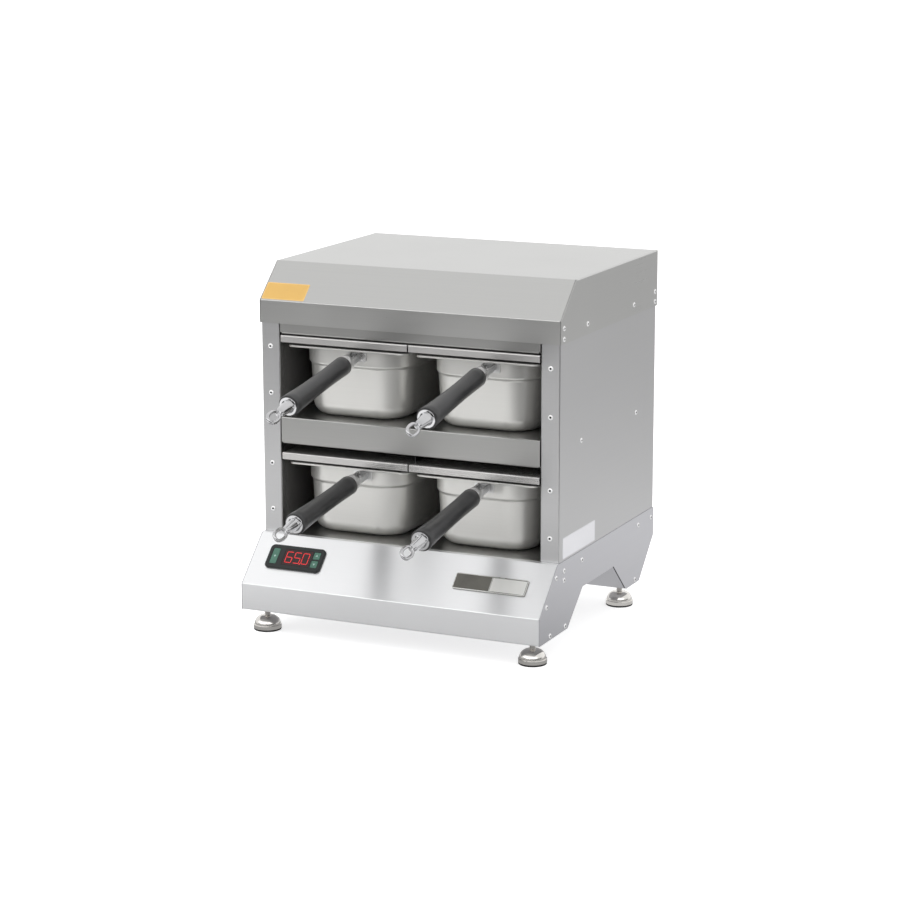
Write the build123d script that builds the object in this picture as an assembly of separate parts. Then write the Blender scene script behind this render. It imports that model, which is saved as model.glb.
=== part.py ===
# Countertop holding cabinet with two heated shelves, each for two quarter-size food pans.
# Millimetres, +Z up, the pan handles point to -Y, and +X is on the right as seen from there.
# The origin lies on the floor under the middle of the whole cabinet's box.

import math
import os

from build123d import *

# Sheet metal and clearances
SHEET = 0.8               # stainless sheet of every panel
BEND = 1.4                # middle radius of a folded edge
LAP_GAP = 0.2             # between fixed panels that lap
HOOD_GAP = 0.6            # between the hood and the body inside it
SLIDE_GAP = 0.3           # between a piece and what it slides past
SEAM = 0.4                # open seam where two folded edges meet
RETURN = 15.0             # width of the folded returns that the rivets go through

# Hood
HOOD_LIP = 28.2
HOOD_SLOPE_RISE = 42.7
HOOD_SLOPE_RUN = 45.9
SKIRT_ABOVE_COVER = 14.2  # hood's lower edge above the upper covers
HOOD_HEM = 2.5            # flat beside the bends of the front and the rear
HOOD_RETURN_START = 2.6   # side returns start above the skirt

# Body and its front opening
BODY_BELOW_HOOD = 4.9     # body's top edge below the hood's top
BODY_CORNER_RISE = 2.0    # body's corners end above the hood's skirt
FLANGE_WIDTH = 24.6
FLANGE_RETURN = 10.0
REAR_FLANGE = 20.0
SIDE_LAP = 24.0           # how far the side panels reach down inside the base
PANEL_BEHIND_FLANGE = 0.2

# Base
FOOT_LIFT = 30.0          # lower edge of the base above the floor
BASE_RISE = 86.4
BASE_REACH = 61.2         # base lip in front of the body
SLOPE_TOP_REACH = 6.4     # top of the sloped panel in front of the body
BASE_LIP = 33.2
FRONT_LEG = 86.7
ARCH_FRONT_RAMP = 47.5
ARCH_FLAT = 104.2
ARCH_REAR_RAMP = 43.9
ARCH_RISE = 40.3
REAR_LEG = 45.5
REAR_CHAMFER_RISE = 50.0
BASE_HEM = 12.0

# Shelves and the heated chamber
TIER_CLEARANCE = 11.2     # lower covers to the upper tray's face
TRAY_FACE = 33.6          # height of the upper tray's front face
LOWER_TRAY_FACE = 20.0
TRAY_FACE_GAP = 1.0       # each side of a tray's face, to the body's flange
CORNER_NOTCH = 2.0
LINER_SET = 1.0           # liner's face outside the edge of the opening
LINER_START = 11.6        # liner's front edge behind the body's front
PAN_REAR_ROOM = 5.0       # pan's rim to the liner's rear wall
LINER_TO_REAR = 40.4      # liner's rear wall to the body's rear
LINER_FOOT = 14.0         # liner below the lower tray's top
CEILING_ABOVE_COVER = 1.7
CEILING_UPSTAND = 22.0
INSULATION_GAP = 0.3
INSULATION_SIDE_RISE = 20.0               # above the hood's lower edge
INSULATION_ROUND = 4.0
INSULATION_TOP_ROUND = 6.0

# Pan covers and their rails
COVER_ABOVE_PAN = 12.5
COVER_SIDE_ROOM = 2.6     # cover's edge to the liner
COVER_REAR_ROOM = 6.2
COVER_STRIP = 8.7
COVER_MIDDLE_GAP = 1.8
LEDGE_WIDTH = 8.0
LEDGE_DROP = 12.0
RAIL_HALF_WIDTH = 6.0
RAIL_START = 9.0          # rails' front end behind the body's front

# Quarter-size gastronorm pan
PAN_WIDTH = 162.0
PAN_LENGTH = 265.0
PAN_HEIGHT = 89.4
PAN_WALL = 0.8
PAN_GAP = 12.0            # between the rims of two pans on one shelf
PAN_SETBACK = 6.4         # rim's front edge behind the body's front
RIM_CORNER = 9.0
RIM_EDGE = 2.6
RIM_EDGE_ROUND = 1.4
RIM_OVERHANG = 9.5
NECK_DEPTH = 23.0
NECK_CORNER = 43.5
NECK_STEP = 2.4
STEP_ROUND = 3.0
BOWL_TAPER = 3.0
BOWL_ROUND = 16.0

# Pan handle
GRIP_START = 22.4         # grip's near end in front of the body's front
GRIP_DROP = 14.6          # near end of the grip below the rim's top
GRIP_LENGTH = 141.5
GRIP_NEAR_RADIUS = 11.8
GRIP_WAIST_RADIUS = 11.2
GRIP_FAR_RADIUS = 13.4
GRIP_ROUND = 1.2
TANG_RADIUS = 4.5
TANG_GAP = 0.05
SOCKET_LENGTH = 13.0
SOCKET_RADIUS = 9.7
SOCKET_CHAMFER = 1.6
ARM_WIDTH = 15.0
ARM_HEIGHT = 9.0
ARM_THICKNESS = 2.0
ARM_OVERLAP = 3.0         # arm's start inside the socket
WELD_WIDTH = 26.0         # foot plate between the arm and the pan's neck
WELD_HEIGHT = 12.0
WELD_DROP = 4.0           # its top below the rim's top
WELD_THICKNESS = 1.5
WELD_OVERLAP = 6.0        # drawn past the neck's face, then cut to it
CAP_FLANGE_RADIUS = 11.2
CAP_FLANGE_LENGTH = 2.0
CAP_LENGTH = 23.5
CAP_NEAR_RADIUS = 7.6
CAP_FAR_RADIUS = 4.4
EYE_REACH = 37.0          # eye's middle beyond the grip's far end
EYE_LENGTH = 24.0         # along the middle of the wire
EYE_WIDTH = 12.4
EYE_WIRE_RADIUS = 1.9
EYE_ROLL = 48.0

# Each pan: side, tier, handle's offset to the right and its droop in degrees
PANS = {
    "upper_left": ("left", "upper", 11.7, 9.7),
    "upper_right": ("right", "upper", 15.2, 9.5),
    "lower_left": ("left", "lower", 18.3, 6.9),
    "lower_right": ("right", "lower", 7.4, 8.2),
}

# Levelling feet
FOOT_SIDE_INSET = 19.6    # from the body's side
FRONT_FOOT_SET = 28.0     # front feet behind the base lip
REAR_FOOT_SET = 66.0      # rear feet in front of the body's rear
BELL_RADIUS = 17.5
BELL_SKIRT = 5.0
BELL_SHOULDER = 1.2
BELL_DOME_RADIUS = 22.0
BELL_TOP_RADIUS = 5.5
BELL_HEIGHT = 18.0
PAD_THICKNESS = 2.0
FOOT_PAD_RADIUS = 17.2
STUD_RADIUS = 4.0
STUD_LENGTH = 38.0        # above the bell
STUD_HOLE_GAP = 0.6
THREAD_GAP = 0.05
NUT_PLATE_SIDE = 28.0
NUT_PLATE_THICKNESS = 3.0
NUT_RADIUS = 7.5
NUT_HEIGHT = 8.0

# Temperature controller on the sloped panel
CONTROLLER_WIDTH = 76.0
CONTROLLER_HEIGHT = 34.0
CONTROLLER_CORNER = 6.0
CONTROLLER_INSET = 59.1   # its middle from the body's left side
CONTROLLER_DOWN = 34.0    # its middle down the slope
BEZEL_PROUD = 3.2
BEZEL_CHAMFER = 1.2
CONTROLLER_BODY_WIDTH = 70.4
CONTROLLER_BODY_HEIGHT = 28.4
CONTROLLER_BODY_DEPTH = 46.0
CUTOUT_GAP = 0.3
WINDOW_WIDTH = 38.5
WINDOW_HEIGHT = 23.0
WINDOW_SHIFT = 3.5        # to the right of the controller's middle
WINDOW_THICKNESS = 1.6
KEY_WIDTH = 9.0
KEY_TRAVEL_ROOM = 1.4
KEY_THICKNESS = 1.8
KEY_GAP = 0.3
KEYS = {                  # middle across and up the face, and height
    "set_key": (-27.7, 0.0, 22.0),
    "up_key": (28.5, 6.0, 10.0),
    "down_key": (28.5, -6.0, 10.0),
}
CLIP_WIDTH = 5.0
CLIP_LENGTH = 24.0

# Heating elements, probe and electrical parts
ROD_RADIUS = 3.2
ROD_BEND = 26.0
ROD_SIDE_SET = 37.0       # outer runs from the liner
ROD_FRONT_SET = 36.0
ROD_REAR_SET = 34.0
ROD_GAP = 0.1
PROBE_RADIUS = 3.0
PROBE_LENGTH = 40.0
LIMITER_RADIUS = 8.0
LIMITER_HEIGHT = 9.0
LIMITER_SET = 68.0        # in front of the liner's rear wall
BLOCK_LENGTH = 52.0
BLOCK_DEPTH = 20.0
BLOCK_HEIGHT = 16.0
BLOCK_WAYS = 5
GLAND_INSET = 78.6        # from the body's left side
GLAND_BORE_RADIUS = 4.0
GLAND_BARREL_RADIUS = 7.9
GLAND_BARREL_LENGTH = 9.0
GLAND_FLANGE_RADIUS = 11.5
GLAND_FLANGE_LENGTH = 5.0
GLAND_NUT_RADIUS = 10.0
GLAND_NUT_LENGTH = 12.0
GLAND_HOLE_GAP = 0.2
INSULATION_TOP_START = 50.0

# Rivets and screws
RIVET_RADIUS = 3.2
RIVET_HEIGHT = 1.2
FRONT_RIVET_INSET = 12.1  # from the body's side
FRONT_RIVET_HEIGHTS = (29.2, 87.5)        # above each tray
HOOD_END_RIVET = 8.8      # from the hood's front or rear
HOOD_END_RIVET_HEIGHTS = (5.8, 18.6)      # above the skirt
HOOD_MIDDLE_RIVET = 77.0
HOOD_MIDDLE_RIVET_HEIGHT = 12.7
SHELF_RIVET = 91.5        # from the middle of the body's depth
SHELF_RIVET_DROP = 10.4   # below the upper tray's top
BASE_TOP_RIVETS = (13.1, 69.8, 261.1, 306.4)   # behind the body's front
BASE_TOP_RIVET_DROP = 11.9
BASE_LOW_RIVET_DROP = 23.4
SLOPE_RIVETS = (14.0, 55.0)               # down the slope
SLOPE_RIVET_INSET = 7.5
LEG_RIVETS = (31.6, 78.6)                 # behind the base lip
LEG_RIVET_HEIGHT = 5.0
REAR_RIVET_HEIGHTS = (150.0, 255.0, 360.0)

# Places worked out from the sizes above
PAN_SPACING = PAN_WIDTH + PAN_GAP
OPENING_WIDTH = 2 * PAN_SPACING
CHAMBER_DEPTH = PAN_SETBACK + PAN_LENGTH + PAN_REAR_ROOM
BODY_WIDTH = OPENING_WIDTH + 2 * FLANGE_WIDTH
BODY_DEPTH = CHAMBER_DEPTH + LINER_TO_REAR
HOOD_WIDTH = BODY_WIDTH + 2 * (SHEET + HOOD_GAP)
HOOD_DEPTH = BODY_DEPTH + 2 * (SHEET + HOOD_GAP)
BASE_WIDTH = BODY_WIDTH + 2 * (SHEET + LAP_GAP)
FRONT = -BODY_DEPTH / 2
REAR = BODY_DEPTH / 2
BASE_TOP = FOOT_LIFT + BASE_RISE
COVER_ABOVE_TRAY = SLIDE_GAP + PAN_HEIGHT + COVER_ABOVE_PAN
TIER_PITCH = COVER_ABOVE_TRAY + TIER_CLEARANCE + TRAY_FACE
LOWER_TRAY_TOP = BASE_TOP + LAP_GAP
UPPER_TRAY_TOP = LOWER_TRAY_TOP + TIER_PITCH
TRAY_TOPS = {"lower": LOWER_TRAY_TOP, "upper": UPPER_TRAY_TOP}
UPPER_COVER_TOP = UPPER_TRAY_TOP + COVER_ABOVE_TRAY
CEILING_HEIGHT = UPPER_COVER_TOP + CEILING_ABOVE_COVER
SKIRT_HEIGHT = UPPER_COVER_TOP + SKIRT_ABOVE_COVER
TOP_HEIGHT = SKIRT_HEIGHT + HOOD_LIP + HOOD_SLOPE_RISE
BODY_TOP = TOP_HEIGHT - BODY_BELOW_HOOD
PANEL_FRONT = FRONT + PANEL_BEHIND_FLANGE
LIP_FRONT = FRONT - BASE_REACH
SLOPE_TOP = (FRONT - SLOPE_TOP_REACH, BASE_TOP)
SLOPE_FOOT = (LIP_FRONT, FOOT_LIFT + BASE_LIP)
CHAMBER_HALF = OPENING_WIDTH / 2 + LINER_SET
CHAMBER_REAR = FRONT + CHAMBER_DEPTH
COVER_WIDTH = CHAMBER_HALF - COVER_MIDDLE_GAP / 2 - COVER_SIDE_ROOM
COVER_LENGTH = CHAMBER_DEPTH - PANEL_BEHIND_FLANGE - COVER_REAR_ROOM
ROD_PITCH = 2 * (CHAMBER_HALF - ROD_SIDE_SET) / 3
FOOT_X = BODY_WIDTH / 2 - FOOT_SIDE_INSET
GLAND_X = GLAND_INSET - BODY_WIDTH / 2
TRAY_FACE_WIDTH = OPENING_WIDTH - 2 * TRAY_FACE_GAP
SLOPE_ANGLE = math.degrees(math.atan2(SLOPE_TOP[1] - SLOPE_FOOT[1], SLOPE_TOP[0] - SLOPE_FOOT[0]))
CONTROLLER_PLANE = Plane(
    origin=(CONTROLLER_INSET - BODY_WIDTH / 2, *SLOPE_TOP),
    x_dir=(1, 0, 0),
    z_dir=(0, -math.sin(math.radians(SLOPE_ANGLE)), math.cos(math.radians(SLOPE_ANGLE))),
) * Pos(0, -CONTROLLER_DOWN, 0)
PAN_FRONT = FRONT + PAN_SETBACK
FEET = {
    f"{end}_{side}": (x, y)
    for end, y in (("front", LIP_FRONT + FRONT_FOOT_SET), ("rear", REAR - REAR_FOOT_SET))
    for side, x in (("left", -FOOT_X), ("right", FOOT_X))
}


# Outline helpers

def shifted(points, distance):
    # The same open outline moved to its left by a distance
    moved = []
    for i, (x, y) in enumerate(points):
        normals = []
        for a, b in ((i - 1, i), (i, i + 1)):
            if a < 0 or b >= len(points):
                continue
            dx = points[b][0] - points[a][0]
            dy = points[b][1] - points[a][1]
            length = math.hypot(dx, dy)
            normals.append((-dy / length, dx / length))
        (ax, ay), (bx, by) = normals[0], normals[-1]
        reach = distance / (1 + ax * bx + ay * by)
        moved.append((x + reach * (ax + bx), y + reach * (ay + by)))
    return moved


def band(points, width):
    # Flat strip of one width along the left of an open outline
    return make_face(Polyline(*points, *reversed(shifted(points, width)), close=True))


def folded(plane, points, side, low, high):
    # Bent sheet whose outer face follows the points, between two places along the plane's normal
    line = shifted(points, side * SHEET / 2)
    path = FilletPolyline(*line, radius=BEND)
    strip = plane * Pos(0, 0, low) * trace(path, SHEET)
    return extrude(strip, amount=high - low, dir=plane.z_dir)


def plate(outline, low, high):
    # Flat plate in the YZ plane between two places across the cabinet
    return extrude(Plane.YZ * Pos(0, 0, low) * outline, amount=high - low, dir=(1, 0, 0))


def block(x, y, z):
    # Square-edged block between pairs of limits
    size = (x[1] - x[0], y[1] - y[0], z[1] - z[0])
    middle = ((x[0] + x[1]) / 2, (y[0] + y[1]) / 2, (z[0] + z[1]) / 2)
    return Pos(*middle) * Box(*size)


def both_sides(right):
    # A right-hand piece and its mirror image
    return {"right": right, "left": mirror(right, about=Plane.YZ)}


def group(pieces):
    # Separate solids that share one node
    return Compound([solid for piece in pieces for solid in piece.solids()])


def hood_front():
    # Outer line of the hood's lip and slope, from the skirt up
    front = -HOOD_DEPTH / 2
    return [
        (front, SKIRT_HEIGHT),
        (front, SKIRT_HEIGHT + HOOD_LIP),
        (front + HOOD_SLOPE_RUN, TOP_HEIGHT),
    ]


# Hood

def hood_shell():
    half = HOOD_WIDTH / 2
    front = -HOOD_DEPTH / 2
    rear = HOOD_DEPTH / 2
    lip_top = SKIRT_HEIGHT + HOOD_LIP
    slope_end = front + HOOD_SLOPE_RUN
    inner = half - SHEET - SEAM
    over_top = [(-half, SKIRT_HEIGHT), (-half, TOP_HEIGHT), (half, TOP_HEIGHT), (half, SKIRT_HEIGHT)]
    top = folded(Plane.XZ, over_top, -1, -rear + HOOD_HEM, -slope_end - HOOD_HEM)
    front_line = hood_front() + [(slope_end + HOOD_HEM, TOP_HEIGHT)]
    rear_line = [(rear - HOOD_HEM, TOP_HEIGHT), (rear, TOP_HEIGHT), (rear, SKIRT_HEIGHT)]
    shell = top + folded(Plane.YZ, front_line, -1, -inner, inner)
    shell += folded(Plane.YZ, rear_line, -1, -inner, inner)
    cheek = make_face(Polyline(
        (front, SKIRT_HEIGHT),
        (front, lip_top),
        (slope_end, TOP_HEIGHT - SHEET / 2),
        (slope_end + HOOD_HEM, TOP_HEIGHT - SHEET / 2),
        (slope_end + HOOD_HEM, SKIRT_HEIGHT),
        close=True,
    ))
    start = SKIRT_HEIGHT + HOOD_RETURN_START
    end = make_face(Polyline(
        (rear - HOOD_HEM, SKIRT_HEIGHT),
        (rear - HOOD_HEM, TOP_HEIGHT - SHEET / 2),
        (rear - SHEET, TOP_HEIGHT - SHEET / 2),
        (rear - SHEET, SKIRT_HEIGHT),
        close=True,
    ))
    front_return = band([(front, start), *front_line[1:3]], -RETURN)
    rear_return = band([rear_line[1], (rear, start)], -RETURN)
    walls = ((cheek, half - SHEET), (end, half - SHEET), (front_return, inner - SHEET),
             (rear_return, inner - SHEET))
    for piece, low in walls:
        for wall in both_sides(plate(piece, low, low + SHEET)).values():
            shell += wall
    return shell


# Body

def body_side():
    half = BODY_WIDTH / 2
    edge = OPENING_WIDTH / 2
    section = [
        (edge, FRONT + FLANGE_RETURN),
        (edge, FRONT),
        (half, FRONT),
        (half, REAR),
        (half - REAR_FLANGE, REAR),
    ]
    bottom = BASE_TOP + LAP_GAP
    panel = folded(Plane.XY, section, 1, bottom, BODY_TOP)
    reach = RETURN + HOOD_GAP
    corner = SKIRT_HEIGHT + BODY_CORNER_RISE
    slope = shifted(hood_front(), -reach)
    front_cut = make_face(Polyline(
        (-HOOD_DEPTH / 2, corner),
        (slope[0][0], corner),
        *slope[1:],
        (slope[2][0], TOP_HEIGHT),
        (-HOOD_DEPTH / 2, TOP_HEIGHT),
        close=True,
    ))
    panel -= plate(front_cut, 0, half + SHEET)
    rear_ends = (HOOD_DEPTH / 2 - reach, HOOD_DEPTH / 2)
    panel -= block((0, half + SHEET), rear_ends, (corner, TOP_HEIGHT))
    lap_ends = (FRONT + 4 * BEND, REAR - 4 * BEND)
    return panel + block((half - SHEET, half), lap_ends, (BASE_TOP - SIDE_LAP, bottom + SHEET))


def rear_panel():
    inside = REAR - SHEET
    half = BODY_WIDTH / 2 - SHEET - BEND - LAP_GAP
    low = BASE_TOP + LAP_GAP
    fold = [
        (inside - REAR_FLANGE, low),
        (inside, low),
        (inside, BODY_TOP),
        (inside - REAR_FLANGE, BODY_TOP),
    ]
    return folded(Plane.YZ, fold, 1, -half, half)


def ceiling_panel():
    half = TRAY_FACE_WIDTH / 2
    line = [
        (CHAMBER_REAR - LAP_GAP, CEILING_HEIGHT),
        (PANEL_FRONT, CEILING_HEIGHT),
        (PANEL_FRONT, CEILING_HEIGHT + CEILING_UPSTAND),
    ]
    panel = folded(Plane.YZ, line, -1, -half, half)
    return panel - corner_notches(half, CEILING_HEIGHT)


def corner_notches(half, low):
    # Cuts at the two lower front corners, where the folds meet
    depth = (PANEL_FRONT - SHEET, PANEL_FRONT + 3 * BEND)
    notch = block((half - CORNER_NOTCH, half + SHEET), depth, (low - SHEET, low + CORNER_NOTCH))
    return notch + mirror(notch, about=Plane.YZ)


# Heated chamber

def chamber_liner():
    front = FRONT + LINER_START
    half = CHAMBER_HALF + SHEET
    section = [
        (-half, front),
        (-half, CHAMBER_REAR + SHEET),
        (half, CHAMBER_REAR + SHEET),
        (half, front),
    ]
    return folded(Plane.XY, section, -1, LOWER_TRAY_TOP - LINER_FOOT, CEILING_HEIGHT)


def tray(top, face):
    # Shelf tray: flat floor, face folded down in front, and side flanges against the liner
    half = TRAY_FACE_WIDTH / 2
    rear = CHAMBER_REAR - LAP_GAP
    line = [
        (rear, top),
        (PANEL_FRONT, top),
        (PANEL_FRONT, top - face),
        (PANEL_FRONT + BASE_HEM, top - face),
    ]
    shelf = folded(Plane.YZ, line, 1, -half, half)
    reach = CHAMBER_HALF - LAP_GAP
    start = FRONT + LINER_START + LAP_GAP
    section = [(-reach, top - LOWER_TRAY_FACE), (-reach, top), (reach, top), (reach, top - LOWER_TRAY_FACE)]
    return shelf + folded(Plane.XZ, section, -1, -CHAMBER_REAR + 2 * BEND, -start)


def upper_tray():
    half = TRAY_FACE_WIDTH / 2
    return tray(UPPER_TRAY_TOP, TRAY_FACE) - corner_notches(half, UPPER_TRAY_TOP - TRAY_FACE)


def upper_tray_underside():
    low = UPPER_TRAY_TOP - TRAY_FACE + SHEET
    half = TRAY_FACE_WIDTH / 2 - CORNER_NOTCH
    rear = CHAMBER_REAR - LAP_GAP
    line = [(PANEL_FRONT + 2 * BEND + SHEET, low), (rear, low), (rear, low + RETURN / 2)]
    return folded(Plane.YZ, line, 1, -half, half)


def lower_tray():
    return tray(LOWER_TRAY_TOP, LOWER_TRAY_FACE)


def insulation_sides():
    low = LOWER_TRAY_TOP
    x = (CHAMBER_HALF + SHEET + INSULATION_GAP, BODY_WIDTH / 2 - SHEET - INSULATION_GAP)
    y = (FRONT + LINER_START, CHAMBER_REAR)
    pad = block(x, y, (low, SKIRT_HEIGHT + INSULATION_SIDE_RISE))
    pad = fillet(pad.edges().filter_by(Axis.Y), INSULATION_ROUND)
    return group(both_sides(pad).values())


def insulation_rear():
    half = BODY_WIDTH / 2 - REAR_FLANGE - SHEET
    y = (CHAMBER_REAR + SHEET + INSULATION_GAP, REAR - 2 * SHEET - INSULATION_GAP)
    low = BASE_TOP + LAP_GAP + SHEET + INSULATION_GAP
    pad = block((-half, half), y, (low, CEILING_HEIGHT))
    return fillet(pad.edges().filter_by(Axis.X), INSULATION_ROUND)


def insulation_top():
    half = TRAY_FACE_WIDTH / 2
    low = CEILING_HEIGHT + SHEET + 2 * ROD_RADIUS + 2 * ROD_GAP
    y = (FRONT + INSULATION_TOP_START, CHAMBER_REAR)
    pad = block((-half, half), y, (low, BODY_TOP - SHEET))
    return fillet(pad.edges().filter_by(Axis.X), INSULATION_TOP_ROUND)


def heating_element(height):
    # One rod bent into four runs under or over a heated sheet
    near = FRONT + ROD_FRONT_SET
    far = CHAMBER_REAR - ROD_REAR_SET
    runs = [(i - 1.5) * ROD_PITCH for i in range(4)]
    points = []
    for i, x in enumerate(runs):
        ends = (far, near) if i % 2 == 0 else (near, far)
        points += [(x, y, height) for y in ends]
    path = FilletPolyline(*points, radius=ROD_BEND)
    return sweep(Plane(origin=path @ 0, z_dir=path % 0) * Circle(ROD_RADIUS), path=path)


def element_heights():
    # Middle height of the rod at each heated sheet
    drop = SHEET + ROD_RADIUS + ROD_GAP
    return {
        "heating_element_top": CEILING_HEIGHT + drop,
        "heating_element_middle": UPPER_TRAY_TOP - drop,
        "heating_element_bottom": LOWER_TRAY_TOP - drop,
    }


# Pan covers

def cover(side, tier):
    top = TRAY_TOPS[tier] + COVER_ABOVE_TRAY
    line = [
        (PANEL_FRONT + COVER_LENGTH, top),
        (PANEL_FRONT, top),
        (PANEL_FRONT, top - COVER_STRIP),
    ]
    half_gap = COVER_MIDDLE_GAP / 2
    return both_sides(folded(Plane.YZ, line, 1, half_gap, half_gap + COVER_WIDTH))[side]


def cover_seat(tier):
    # Height that the covers of one tier lie on
    return TRAY_TOPS[tier] + COVER_ABOVE_TRAY - SHEET - SLIDE_GAP


def cover_ledges():
    start = FRONT + LINER_START + LAP_GAP
    ledges = []
    for tier in TRAY_TOPS:
        top = cover_seat(tier)
        section = [
            (CHAMBER_HALF - LEDGE_WIDTH, top),
            (CHAMBER_HALF, top),
            (CHAMBER_HALF, top - LEDGE_DROP),
        ]
        ledge = folded(Plane.XZ, section, -1, -CHAMBER_REAR + 2 * BEND, -start)
        ledges += both_sides(ledge).values()
    return group(ledges)


def cover_centre_rails():
    start = FRONT + RAIL_START
    y = (start + BASE_HEM, CHAMBER_REAR)
    rails = []
    for tier, above in (("lower", UPPER_TRAY_TOP - TRAY_FACE + SHEET), ("upper", CEILING_HEIGHT)):
        top = cover_seat(tier)
        foot = block((-RAIL_HALF_WIDTH, RAIL_HALF_WIDTH), (start, y[1]), (top - SHEET, top))
        web = block((-SHEET / 2, SHEET / 2), y, (top, above))
        head = block((-RAIL_HALF_WIDTH, RAIL_HALF_WIDTH), y, (above - SHEET, above))
        rails.append(foot + web + head)
    return group(rails)


# Base

def base_outline():
    # Lower edge of the base from the front lip to the rear, as seen from the side
    front_leg_end = LIP_FRONT + FRONT_LEG
    arch_start = front_leg_end + ARCH_FRONT_RAMP
    arch_end = arch_start + ARCH_FLAT
    rear_leg_start = arch_end + ARCH_REAR_RAMP
    arch_top = FOOT_LIFT + ARCH_RISE
    return [
        (LIP_FRONT, FOOT_LIFT),
        (front_leg_end, FOOT_LIFT),
        (arch_start, arch_top),
        (arch_end, arch_top),
        (rear_leg_start, FOOT_LIFT),
        (rear_leg_start + REAR_LEG, FOOT_LIFT),
        (REAR, FOOT_LIFT + REAR_CHAMFER_RISE),
    ]


def base_side():
    points = base_outline() + [(REAR, BASE_TOP), SLOPE_TOP, SLOPE_FOOT]
    outline = make_face(Polyline(*points, close=True))
    half = BASE_WIDTH / 2
    return plate(outline, half - SHEET, half)


def base_front_panel():
    half = BODY_WIDTH / 2
    line = [
        (FRONT - LAP_GAP, BASE_TOP),
        SLOPE_TOP,
        SLOPE_FOOT,
        (LIP_FRONT, FOOT_LIFT),
        (LIP_FRONT + BASE_HEM, FOOT_LIFT),
    ]
    panel = folded(Plane.YZ, line, 1, -half, half)
    side_return = both_sides(plate(band(line[1:4], RETURN), half - SHEET, half))
    for wall in side_return.values():
        panel += wall
    hole = Rectangle(CONTROLLER_BODY_WIDTH + 2 * CUTOUT_GAP, CONTROLLER_BODY_HEIGHT + 2 * CUTOUT_GAP)
    cutter = extrude(CONTROLLER_PLANE * hole, amount=2 * SHEET, both=True)
    return panel - cutter


def base_bottom():
    # One folded sheet that follows the side plates' lower edge and closes the rear
    line = base_outline() + [(REAR, BASE_TOP - LAP_GAP)]
    line[0] = (LIP_FRONT + BASE_HEM + LAP_GAP, FOOT_LIFT)
    half = BODY_WIDTH / 2 - SHEET - LAP_GAP
    bottom = folded(Plane.YZ, line, 1, -half, half)
    for x, y in FEET.values():
        bottom -= Pos(x, y, FOOT_LIFT) * Cylinder(STUD_RADIUS + STUD_HOLE_GAP, 4 * SHEET)
    hole = Cylinder(GLAND_BARREL_RADIUS + GLAND_HOLE_GAP, 4 * SHEET, rotation=(90, 0, 0))
    return bottom - Pos(GLAND_X, REAR, gland_height()) * hole


def gland_height():
    return (FOOT_LIFT + REAR_CHAMFER_RISE + BASE_TOP) / 2


# Levelling feet

def foot():
    # Polished bell with its threaded stud, standing on z = 0
    low = PAD_THICKNESS
    skirt = low + BELL_SKIRT
    top = BELL_HEIGHT
    shoulder = BELL_RADIUS - BELL_SHOULDER
    dome = RadiusArc(
        (shoulder, skirt + BELL_SHOULDER),
        (BELL_TOP_RADIUS, top),
        -BELL_DOME_RADIUS,
    )
    outline = Polyline(
        (BELL_TOP_RADIUS, top),
        (STUD_RADIUS, top),
        (STUD_RADIUS, top + STUD_LENGTH),
        (0, top + STUD_LENGTH),
        (0, low),
        (BELL_RADIUS, low),
        (BELL_RADIUS, skirt),
        (shoulder, skirt + BELL_SHOULDER),
    )
    return revolve(Plane.XZ * make_face([*outline.edges(), *dome.edges()]), axis=Axis.Z)


def foot_pad():
    pad = Pos(0, 0, PAD_THICKNESS / 2) * Cylinder(FOOT_PAD_RADIUS, PAD_THICKNESS)
    return chamfer(pad.edges().sort_by(Axis.Z)[0], PAD_THICKNESS / 4)


def foot_nuts():
    # Nut plates inside the legs, each with a welded hexagon nut
    bottom = FOOT_LIFT + SHEET
    bore = Cylinder(STUD_RADIUS + THREAD_GAP, 6 * NUT_HEIGHT)
    nuts = []
    for x, y in FEET.values():
        nut_plate = Pos(0, 0, NUT_PLATE_THICKNESS / 2) * Box(
            NUT_PLATE_SIDE, NUT_PLATE_SIDE, NUT_PLATE_THICKNESS)
        nut = Pos(0, 0, NUT_PLATE_THICKNESS) * extrude(RegularPolygon(NUT_RADIUS, 6), amount=NUT_HEIGHT)
        nuts.append(Pos(x, y, bottom) * (nut_plate + nut - bore))
    return group(nuts)


# Controller

def controller_pockets(gap):
    # Key shapes drawn on the bezel's face, grown by a gap
    shapes = {}
    for name, (across, up, height) in KEYS.items():
        shape = Pos(across, up) * RectangleRounded(
            KEY_WIDTH + 2 * gap, height + 2 * gap, 1.2 + gap)
        shapes[name] = shape
    return shapes


def controller_housing():
    bezel = extrude(RectangleRounded(CONTROLLER_WIDTH, CONTROLLER_HEIGHT, CONTROLLER_CORNER), BEZEL_PROUD)
    bezel = chamfer(bezel.faces().sort_by(Axis.Z)[-1].outer_wire().edges(), BEZEL_CHAMFER)
    body = extrude(Rectangle(CONTROLLER_BODY_WIDTH, CONTROLLER_BODY_HEIGHT), -CONTROLLER_BODY_DEPTH)
    housing = bezel + body
    window = Pos(WINDOW_SHIFT, 0) * Rectangle(WINDOW_WIDTH, WINDOW_HEIGHT)
    housing -= Pos(0, 0, BEZEL_PROUD - WINDOW_THICKNESS) * extrude(window, BEZEL_PROUD)
    depth = KEY_THICKNESS + KEY_TRAVEL_ROOM
    for shape in controller_pockets(KEY_GAP).values():
        housing -= Pos(0, 0, BEZEL_PROUD - depth) * extrude(shape, BEZEL_PROUD + depth)
    return CONTROLLER_PLANE * housing


def controller_window():
    window = extrude(Pos(WINDOW_SHIFT, 0) * Rectangle(WINDOW_WIDTH, WINDOW_HEIGHT), WINDOW_THICKNESS)
    window = chamfer(window.edges().group_by(Axis.Z)[-1], 0.4)
    return CONTROLLER_PLANE * Pos(0, 0, BEZEL_PROUD - WINDOW_THICKNESS) * window


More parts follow.
